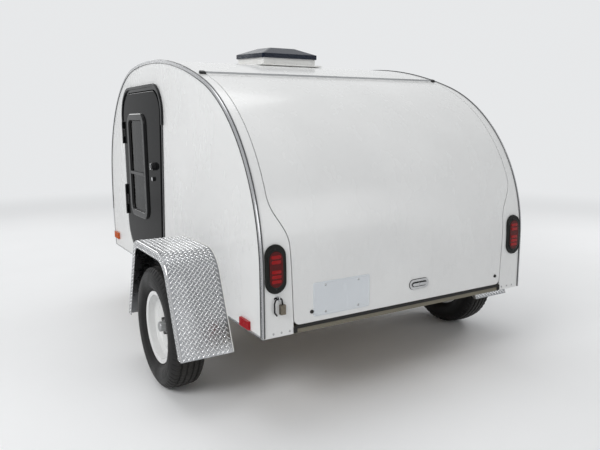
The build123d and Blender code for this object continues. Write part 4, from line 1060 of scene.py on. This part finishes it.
def arc_through(first, middle, last, count):
    """Points of the circle through three points: its centre is equally far from all of them."""
    a, b, c = (np.array(p, float) for p in (first, middle, last))
    centre = np.linalg.solve(2 * np.array([b - a, c - a]), np.array([b @ b - a @ a, c @ c - a @ a]))
    angle = np.unwrap([math.atan2(*(p - centre)[::-1]) for p in (a, b, c)])
    turn = np.linspace(angle[0], angle[2], count)
    return centre + np.linalg.norm(a - centre) * np.stack([np.cos(turn), np.sin(turn)], -1)


def tyre_section():
    """The tread, then half a section from its edge to the bead, as (across, radius), on both sides."""
    edges = [np.array(GROOVES) + shift for shift in (-0.0048, -0.0034, 0.0034, 0.0048)]
    across = np.sort(np.concatenate([*edges, np.linspace(-TREAD_EDGE[0], TREAD_EDGE[0], TREAD_ROWS)]))
    crown = arc_through((-TREAD_EDGE[0], TREAD_EDGE[1]), CROWN, TREAD_EDGE, CROWN_ROWS)
    tread = np.stack([across, np.interp(across, crown[:, 0], crown[:, 1])], -1)
    shoulder = arc_through(TREAD_EDGE, SHOULDER, WIDEST, SHOULDER_ROWS)[1:]
    wall = arc_through(WIDEST, LOWER_WALL, BEAD_TOP, WALL_ROWS)[1:]
    half = np.concatenate([shoulder, wall, [BEAD_TOE]])
    rings = sum(np.exp(-(((half[:, 1] - radius) / WALL_RING_WIDE) ** 2)) for radius in WALL_RINGS)
    half = half - rings[:, None] * np.array([WALL_RING_HIGH, 0])
    return np.concatenate([(half * [-1, 1])[::-1], tread, half])


print("tyre section", len(tyre_section()), "points")

# %% [markdown]
# The cuts are a depth that depends on the place across the tread and on the angle. It is taken off
# along the section's normal, so the rubber stays one closed surface.

# %% Treaded tyres
SIPES, SIPE_DEEP, SIPE_REACH, SIPE_WANDER = 90, 0.0030, 0.00675, 0.0016
SHOULDER_BLOCKS, NOTCH_DEEP, NOTCH_IN, NOTCH_OUT = 60, 0.0034, (0.050, 0.004), (0.082, 0.006)
TYRE_WALL, TYRE_COLUMNS, INNER_STEP, TREAD_FROM = 0.009, 720, 12, 0.255


def ramp(value):
    return np.clip(value, 0, 1)


def cut_depth(across, angle):
    """Depth of the grooves, sipes and shoulder cuts: the deepest of them at a place on the tread."""
    sipe_turn = angle * SIPES / (2 * np.pi)
    block_turn = angle * SHOULDER_BLOCKS / (2 * np.pi)
    wander = SIPE_WANDER * np.abs(sipe_turn % 2 - 1)
    sipe = SIPE_DEEP * ramp(1 - np.abs(sipe_turn % 1 - 0.5) * 9)
    depth = 0 * (across + angle)
    for groove in GROOVES:
        off_centre = np.abs(across - groove - wander + SIPE_WANDER / 2)
        depth = np.maximum(depth, GROOVE_DEEP * ramp((GROOVE_WIDE + GROOVE_EDGE - off_centre) / GROOVE_EDGE))
        beside = (np.abs(across - groove) < GROOVE_WIDE + SIPE_REACH) * (np.abs(across) < TREAD_EDGE[0])
        depth = np.maximum(depth, sipe * beside)
    (start, rise), (end, fall) = NOTCH_IN, NOTCH_OUT
    shoulder = ramp((np.abs(across) - start) / rise) * ramp((end - np.abs(across)) / fall)
    notch = ramp(1.4 - np.abs(block_turn % 1 - 0.5) * 7)
    return np.maximum(depth, NOTCH_DEEP * shoulder * notch)


def tyre_shape():
    outer = tyre_section()
    run = np.gradient(outer, axis=0)
    normal = np.stack([-run[:, 1], run[:, 0]], -1) / np.linalg.norm(run, axis=1, keepdims=True)
    inner = (outer - normal * TYRE_WALL)[1:-1][:: -INNER_STEP]
    angle = np.linspace(0, 2 * np.pi, TYRE_COLUMNS, endpoint=False)[None, :]
    deep = cut_depth(outer[:, :1], angle) * (outer[:, 1:] > TREAD_FROM)
    outside = outer[:, None] - normal[:, None] * deep[..., None]
    inside = inner[:, None] + 0 * angle[..., None]
    across, radius = np.moveaxis(np.concatenate([outside, inside]), -1, 0)
    places = WHEEL_X + radius * np.cos(angle), WHEEL_Y + across, WHEEL_Z + radius * np.sin(angle)
    return grid(np.stack(places, -1), wrap_rows=True, wrap_columns=True)


for word, tyre in both_sides("treaded_tyre", tyre_shape(), tyre_rubber, "tyre", "wheel", 40).items():
    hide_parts(f"tyre_{word}")

# %% [markdown]
# A rubber valve stem stands in each rim between two of its holes.

# %% Valve stems
STEM = (
    (0, -0.012), (0.0075, -0.012), (0.0075, -0.004), (0.0045, 0.002), (0.0042, 0.020), (0.0048, 0.021),
    (0.0048, 0.030), (0.0030, 0.032), (0, 0.032),
)
STEM_RADIUS, STEM_ANGLE, STEM_OUT = 0.128, 0.6, 0.014
stem_turn = np.array([-math.cos(STEM_ANGLE), 0, math.sin(STEM_ANGLE)])
stem_spot = np.array([WHEEL_X, WHEEL_Y + STEM_OUT, WHEEL_Z]) + STEM_RADIUS * stem_turn
stem = scattered(turned(STEM, 14), stem_spot, SIDE_FRAME)
both_sides("valve_stem", stem, seal_rubber, "seal_rubber", "wheel")

# %% [markdown]
# ## Tail lights
#
# Each lamp is an upright oval: a thick rubber grommet with a rounded edge, a deep red lens, and five
# brighter bars where the diodes sit. The lamp lies on the curved rear panel, so its pieces take their
# place and tilt from the side line at their own height.

# %% Grommet edges, bars and screws
LIGHT_Y, LIGHT_Z = 0.724, BODY_FOOT + 0.296
GROMMET_EDGE = (0.199, 0.090, 0.0045, ring_of(0.0052, 10))  # long, wide, out from the skin, section
LENS_EDGE = (0.158, 0.069, 0.0078, ring_of(0.0042))
BAR_BOX, BAR_LAYERS, BAR_OUT = (0.045, 0.0150, 0.0065), [(0, -0.001), (0, 0.0006), (0.0012, 0.0014)], 0.0120
BAR_ROWS, BAR_STEP = np.array([0, 1, 2, 4, 5]) - 2.5, 0.0205
LAMP_SCREW, LAMP_SCREW_ROWS, LAMP_SCREW_OUT = 0.0042, np.array([-0.0835, 0.0835]), 0.0082


def oval_on_rear(long, wide, out, section):
    """A tube round an upright oval that follows the rear skin: height z gives the skin's place and tilt."""
    turn = np.linspace(0, 2 * np.pi, 96, endpoint=False)
    across, height = wide / 2 * np.cos(turn), wide / 2 * np.sin(turn)
    height = height + (long - wide) / 2 * np.sign(np.sin(turn + 1e-9))
    places, normals = rear_place(LIGHT_Z + height, LIGHT_Y + across, out)
    around = np.cos(turn)[:, None] * LEFT + np.sin(turn)[:, None] * np.cross(LEFT, normals)
    return tube(places, around, normals, section, closed=True)


edges = on_both(merged([oval_on_rear(*GROMMET_EDGE), oval_on_rear(*LENS_EDGE)]))
surface("grommet_edges", edges, grommet_rubber, "trailer", "grommet_rubber")
places, normals = rear_place(LIGHT_Z + BAR_ROWS * BAR_STEP, LIGHT_Y, BAR_OUT)
bars = scattered(slab(box_line(*BAR_BOX), BAR_LAYERS), places, frames_on(normals, LEFT))
surface("lamp_bars", on_both(bars), lit_red, "trailer", "red_lens")
places, normals = rear_place(LIGHT_Z + LAMP_SCREW_ROWS, LIGHT_Y, LAMP_SCREW_OUT)
screws = scattered(sized(SCREW, LAMP_SCREW), places, frames_on(normals, LEFT))
surface("lamp_screws", on_both(screws), black_fittings, "trailer", "black_fittings")

# %% [markdown]
# ## Side markers
#
# Red at the rear and amber at the front, each lens has upright ribs moulded on its face.

# %% Marker ribs
MARKERS = (  # name, start, end, low, high, material, slot
    ("rear_marker_ribs", 0.114, 0.205, 0.010, 0.048, marker_red, "red_lens"),
    ("front_marker_ribs", 2.262, 2.366, 0.058, 0.104, amber_lens, "amber_lens"),
)
RIB_STEP, MARKER_FACE = 0.008, HALF + 0.0117
for name, start, end, low, high, material, slot in MARKERS:
    rib_line = np.array([at(0, MARKER_FACE, low + 0.004), at(0, MARKER_FACE, high - 0.004)])
    rib = tube(rib_line, FORWARD, LEFT, ring_of(0.0024, 8, 0.7))
    stations = np.arange(start + 0.006, end - 0.004, RIB_STEP)
    surface(name, on_both(scattered(rib, stations[:, None] * FORWARD, np.eye(3))), material, "trailer", slot)

# %% [markdown]
# ## Rear corners, sill and hatch
#
# Three truss screws hold the foot of each corner panel. A black rubber strip lies along the sill where
# the hatch comes down on it, and turns down at its ends. Two small dark buffers stand on the hatch's
# foot. Screws are one turned profile with a recess in its head, copied to each place.

# %% Corner screws, weatherstrip and buffers
CORNER_SCREW, CORNER_SCREWS_Y, CORNER_SCREWS_UP = 0.0048, (0.737, 0.698, 0.658), 0.016
corner_spots = mirrored([at(0, y, CORNER_SCREWS_UP) for y in CORNER_SCREWS_Y])
corner_screws = scattered(sized(SCREW, CORNER_SCREW), corner_spots, REAR_FRAME)
surface("corner_screws", corner_screws, zinc, "trailer", "zinc")

SEAL_REACH, SEAL_UP, SEAL_THICK = 0.628, 0.0265, np.array([0.0045, 0.0075])
LUG_BOX, LUG_LAYERS = (0.018, 0.030, 0.006), [(0, -0.001), (0, 0.0035), (0.002, 0.005)]
strip_line = np.linspace(at(0, -SEAL_REACH, SEAL_UP), at(0, SEAL_REACH, SEAL_UP), 60)
strip = tube(strip_line, -FORWARD, UPWARD, ring_of(1.0, 14) * SEAL_THICK)
lugs = scattered(slab(box_line(*LUG_BOX), LUG_LAYERS), mirrored(at(0, 0.630, 0.017)), REAR_FRAME)
surface("sill_weatherstrip", merged([strip, lugs]), seal_rubber, "trailer", "seal_rubber")

BUFFER = ((0, -0.001), (0.012, -0.001), (0.012, 0.003), (0.009, 0.007), (0.004, 0.0085), (0, 0.0085))
BUFFERS_Y, BUFFERS_UP = (0.546, -0.601), 0.083
buffer_shape = sized(turned(BUFFER, 18), (0.75, 0.70, 0.8))
buffers = scattered(buffer_shape, [at(0, y, BUFFERS_UP) for y in BUFFERS_Y], REAR_FRAME)
surface("hatch_buffers", buffers, seal_rubber, "hatch", "seal_rubber")

# %% [markdown]
# The T-handle stands on a black slab, painted dark reflection for its chrome, edged by a black ring
# that is painted shadow under its bezel, with a key barrel in its middle. The licence plate is blank:
# its pressed rim is a bead round a rounded rectangle, and four bolts hold it.

# %% Handle and plate
HANDLE_SPOT, PLATE_SPOT = at(0, -0.067, 0.120), at(-0.002, 0.386, 0.134)
REFLECTION_SLAB_BOX, SHADOW_RING_BOX = (0.0944, 0.0254, 0.0126), (0.1196, 0.0486, 0.0242)  # wide, tall, corner
PLATE_BOX = (0.295, 0.142, 0.010)
REFLECTION_SLAB_OUT, SHADOW_RING_OUT, KEY_OUT = 0.002, 0.0006, 0.012
PLATE_BOLT, PLATE_BOLT_Y, PLATE_BOLT_Z = 0.0055, 0.089, 0.060
# Painted dark reflection and shadow: a black slab behind the chrome grip and a black ring round it.
reflection_slab = slab(box_line(*REFLECTION_SLAB_BOX), [(0, -0.0003), (0, 0.0004), (0.0006, 0.0006)])
reflection_slab = scattered(reflection_slab, HANDLE_SPOT - REFLECTION_SLAB_OUT * FORWARD, REAR_FRAME)
surface("handle_painted_reflection_slab", reflection_slab, black_fittings, "hatch", "black_fittings")
shadow_ring_spot = HANDLE_SPOT - SHADOW_RING_OUT * FORWARD
handle_painted_shadow_ring = flat_loop(box_line(*SHADOW_RING_BOX), shadow_ring_spot, REAR_FRAME, ring_of(0.0015))
surface("handle_painted_shadow_ring", handle_painted_shadow_ring, seal_rubber, "hatch", "seal_rubber")
BARREL_FACE = (
    (0, -0.002), (0.0062, -0.002), (0.0062, 0.0012), (0.0054, 0.002), (0.0012, 0.002), (0.0010, 0.0008),
    (0, 0.0008),
)
barrel = scattered(turned(BARREL_FACE, 20), HANDLE_SPOT - KEY_OUT * FORWARD, REAR_FRAME)
surface("handle_key_barrel", barrel, chrome, "hatch", "chrome")

plate_rim = flat_loop(box_line(*PLATE_BOX), PLATE_SPOT, REAR_FRAME, ring_of(0.0018, 8, 0.6))
surface("plate_rim", plate_rim, blank_plate, "hatch", "blank_plate")
bolt_spots = [PLATE_SPOT + (0, a * PLATE_BOLT_Y, b * PLATE_BOLT_Z) for a in (1, -1) for b in (1, -1)]
surface("plate_bolts", scattered(sized(SCREW, PLATE_BOLT), bolt_spots, REAR_FRAME), zinc, "hatch", "zinc")

# %% [markdown]
# ## Doors
#
# The window sits in a rubber gasket, a bead that follows its rounded rectangle inside and out. The
# lock has a bright face with a keyhole, the latch's black knob a chrome ring that is its painted
# highlight, and each hinge leaf its screws.

# %% Gaskets, lock faces and hinge screws
DOOR_FACE = HALF + 0.009
WINDOW_LONG, WINDOW_TALL = 0.363, 0.651
GASKETS = ((0.083, 0.034, 0.0012, 0.0034), (-0.001, 0.0755, 0.0006, 0.0022))  # inset, corner, out, radius
window_middle = at((1.477 + 1.840) / 2, DOOR_FACE, (0.302 + 0.953) / 2)
gaskets = []
for inset, corner, out, radius in GASKETS:
    gasket_line = box_line(WINDOW_LONG - inset, WINDOW_TALL - inset, corner)
    gaskets.append(flat_loop(gasket_line, window_middle + out * LEFT, SIDE_FRAME, ring_of(radius)))
both_sides("window_gasket", merged(gaskets), seal_rubber, "seal_rubber", "door")

LOCK_FACE = (
    (0, -0.001), (0.0115, -0.001), (0.0115, 0.0006), (0.0100, 0.0016), (0.0014, 0.0016), (0.0012, 0.0004),
    (0, 0.0004),
)
# The chrome ring on the latch's black knob is a painted highlight.
LATCH_HIGHLIGHT_RING = ((0.0140, -0.001), (0.0165, -0.001), (0.0165, 0.0008), (0.0153, 0.0018), (0.0140, 0.0008))
LOCK_SPOT, LATCH_SPOT = at(1.358, DOOR_FACE + 0.010, 0.569), at(1.333, DOOR_FACE + 0.024, 0.645)
lock_face = scattered(turned(LOCK_FACE, 24), LOCK_SPOT, SIDE_FRAME)
latch_highlight_ring = scattered(turned(LATCH_HIGHLIGHT_RING, 32, closed=True), LATCH_SPOT, SIDE_FRAME)
both_sides("door_lock_face_and_latch_highlight", merged([lock_face, latch_highlight_ring]), chrome, "chrome", "door")

HINGES = ((0.390, 0.200), (0.833, 0.143))  # middle, height
JAMB_STATION, LEAF_STATION, DOOR_SCREW = 1.9715, 1.927, 0.0042
jamb_spots = [
    at(JAMB_STATION, HALF + 0.008, middle + end * tall / 3 + shift)
    for middle, tall in HINGES for end in (1, -1) for shift in (-tall / 12, tall / 12)
]
leaf_spots = [
    at(LEAF_STATION, DOOR_FACE + 0.004, middle + shift)
    for middle, tall in HINGES for shift in (-tall / 12, tall / 12)
]
for name, spots, body in (("jamb_screws", jamb_spots, None), ("leaf_screws", leaf_spots, "door")):
    screws = scattered(sized(SCREW, DOOR_SCREW), spots, SIDE_FRAME)
    both_sides(name, screws, black_fittings, "black_fittings", body)

# %% [markdown]
# ## Roof
#
# The vent's flange is screwed down all round on a bead of sealant, and the hinge rail ends in a black
# plug on each side. The plug is a superellipsoid: a sphere whose cosines and sines are raised to a
# power below one, which swells it towards a box with soft corners.

# %% Vent screws, sealant and hinge plugs
VENT_STATION, VENT_SLOPE, FLANGE, SCREW_REACH, VENT_SCREW = 1.293, 3.006, 2 * 0.208, 0.192, 0.0048
HINGE_SLOPE, PLUG_SIZE, PLUG_Y, PLUG_AHEAD = 17.53, (0.026, 0.031, 0.0155), 0.7445, 0.004
FORWARD_PART = slice(2, -12)  # the side line's points over which x only grows


def sloped(degrees):
    """A frame on the roof, tilted up towards the front: its columns are along, left and up."""
    slope = math.radians(degrees)
    along, up = [math.cos(slope), 0, math.sin(slope)], [-math.sin(slope), 0, math.cos(slope)]
    return frames_on(up, along)


vent_frame, hinge_frame = sloped(VENT_SLOPE), sloped(HINGE_SLOPE)
vent_x = STATION_ZERO + VENT_STATION
vent_z = np.interp(vent_x, *side_line[0][FORWARD_PART].T)
vent_spot = np.array([vent_x, 0, vent_z])
row = np.linspace(-SCREW_REACH, SCREW_REACH, 6)
a, b = (part.ravel() for part in np.meshgrid(row, row))
on_rim = np.maximum(np.abs(a), np.abs(b)) > SCREW_REACH - 0.001
flange_spots = vent_spot + np.stack([a, b, 0 * a + 0.004], -1)[on_rim] @ vent_frame.T
surface("vent_screws", scattered(sized(SCREW, VENT_SCREW), flange_spots, vent_frame), zinc, "trailer", "zinc")
seal_line = box_line(FLANGE + 0.003, FLANGE + 0.003, 0.004)
vent_seal = flat_loop(seal_line, vent_spot - 0.0005 * vent_frame[:, 2], vent_frame, ring_of(0.0034))
surface("vent_sealant", vent_seal, vent_white, "trailer", "vent_white")


def soft_block(size, power=0.45):
    """A superellipsoid: x = sx c(v) c(u), y = sy c(v) s(u), z = sz s(v), with c and s raised to a power."""
    v = np.linspace(-np.pi / 2, np.pi / 2, 14)[:, None]
    u = np.linspace(0, 2 * np.pi, 20, endpoint=False)[None]
    waves = np.cos(v), np.sin(v), np.cos(u), np.sin(u)
    c_v, s_v, c_u, s_u = (np.sign(wave) * np.abs(np.round(wave, 12)) ** power for wave in waves)
    points = np.stack([c_v * c_u, c_v * s_u, s_v + 0 * u], -1)
    return grid(points * np.array(size) / 2, wrap_columns=True)


plug_spots = mirrored((HINGE_LINE[0], PLUG_Y, HINGE_LINE[2])) + PLUG_AHEAD * hinge_frame[:, 0]
plugs = scattered(soft_block(PLUG_SIZE), plug_spots, hinge_frame)
surface("hinge_plugs", plugs, black_fittings, "trailer", "black_fittings")

# %% [markdown]
# ## Chassis
#
# Bolts hold the coupler, the jack and the axle's pads, and weld beads join the cross-members to the
# rails. A weld is a tube whose thickness ripples along its length, as the pool of metal was laid in
# small overlapping coins.

# %% Bolts and welds
RAIL_WELDS, TONGUE_WELDS = (0.215, 0.266, 1.129, 1.180), (2.279, 2.330)
WELD_STEP, RIPPLE_LONG, RIPPLE_HIGH, WELD_RADIUS = 0.00121, 0.0045, 0.18, 0.0032


def bolts(spots, size, frame):
    return scattered(sized(BOLT, size), spots, frame)


coupler_bolts = bolts([at(station, 0.038, -0.038) for station in (3.070, 3.160)], 0.010, SIDE_FRAME)
both_sides("coupler_bolts", coupler_bolts, zinc, "zinc", crease=30)
jack_spots = [at(station, 0.042, height) for station in (2.882, 2.978) for height in (-0.055, -0.021)]
surface("jack_bolts", bolts(jack_spots, 0.008, SIDE_FRAME), zinc, "trailer", "zinc", 30)
axle_spots = mirrored([at(station, 0.662, -0.082) for station in (0.794, 0.886)])
surface("axle_bolts", bolts(axle_spots, 0.010, frames_on(-UPWARD, FORWARD)), zinc, "trailer", "zinc", 30)


def weld(start, end, out):
    """A bead between two points: its radius swells by RIPPLE_HIGH |sin| along its length."""
    long = np.linalg.norm(end - start)
    t = np.linspace(0, 1, max(12, int(long / WELD_STEP)))[:, None]
    swell = 1 + RIPPLE_HIGH * np.abs(np.sin(t * long / RIPPLE_LONG * np.pi))
    return tube(start + t * (end - start), FORWARD, out, ring_of(WELD_RADIUS), swell=swell)


welds = []
for station in RAIL_WELDS:
    welds.append(weld(at(station, 0.6365, -0.074), at(station, 0.6365, -0.006), LEFT))
    welds.append(weld(at(station, 0.600, -0.076), at(station, 0.634, -0.076), UPWARD))
for station in TONGUE_WELDS:
    welds.append(weld(at(station, 0.032, -0.074), at(station, 0.032, -0.002), LEFT))
surface("weld_beads", on_both(merged(welds)), chassis_black, "trailer", "chassis_black")

# %% [markdown]
# ## Galley
#
# Under the hatch the cabinet's front has two plywood doors with turned knobs. They only show when the
# hatch is open.

# %% Cabinet doors and knobs
CABINET, CABINET_DOOR_THICK = 0.1204, 0.0133
CABINET_BOX, CABINET_DOOR_SPOT, KNOB_SPOT = (0.640, 0.350, 0.018), (0.345, 0.240), (0.070, 0.330)
DOOR_LAYERS = ((0, -0.0003), (0, 0.010), (0.0015, 0.0125), (0.004, 0.0135))
KNOB = (
    (0, -0.001), (0.008, -0.001), (0.0065, 0.008), (0.0075, 0.014), (0.014, 0.019), (0.015, 0.024),
    (0.011, 0.028), (0, 0.029),
)
cabinet_door = slab(box_line(*CABINET_BOX), DOOR_LAYERS)
doors = scattered(cabinet_door, mirrored(at(CABINET, *CABINET_DOOR_SPOT)), REAR_FRAME)
surface("cabinet_doors", doors, birch_ply, "trailer", "birch_ply")
knob_spots = mirrored(at(CABINET - CABINET_DOOR_THICK, *KNOB_SPOT))
knobs = scattered(turned(KNOB, 20), knob_spots, REAR_FRAME)
surface("cabinet_knobs", knobs, zinc, "trailer", "zinc")

# %% [markdown]
# ## Finish
#

# %% Update the view layer
bpy.context.view_layer.update()
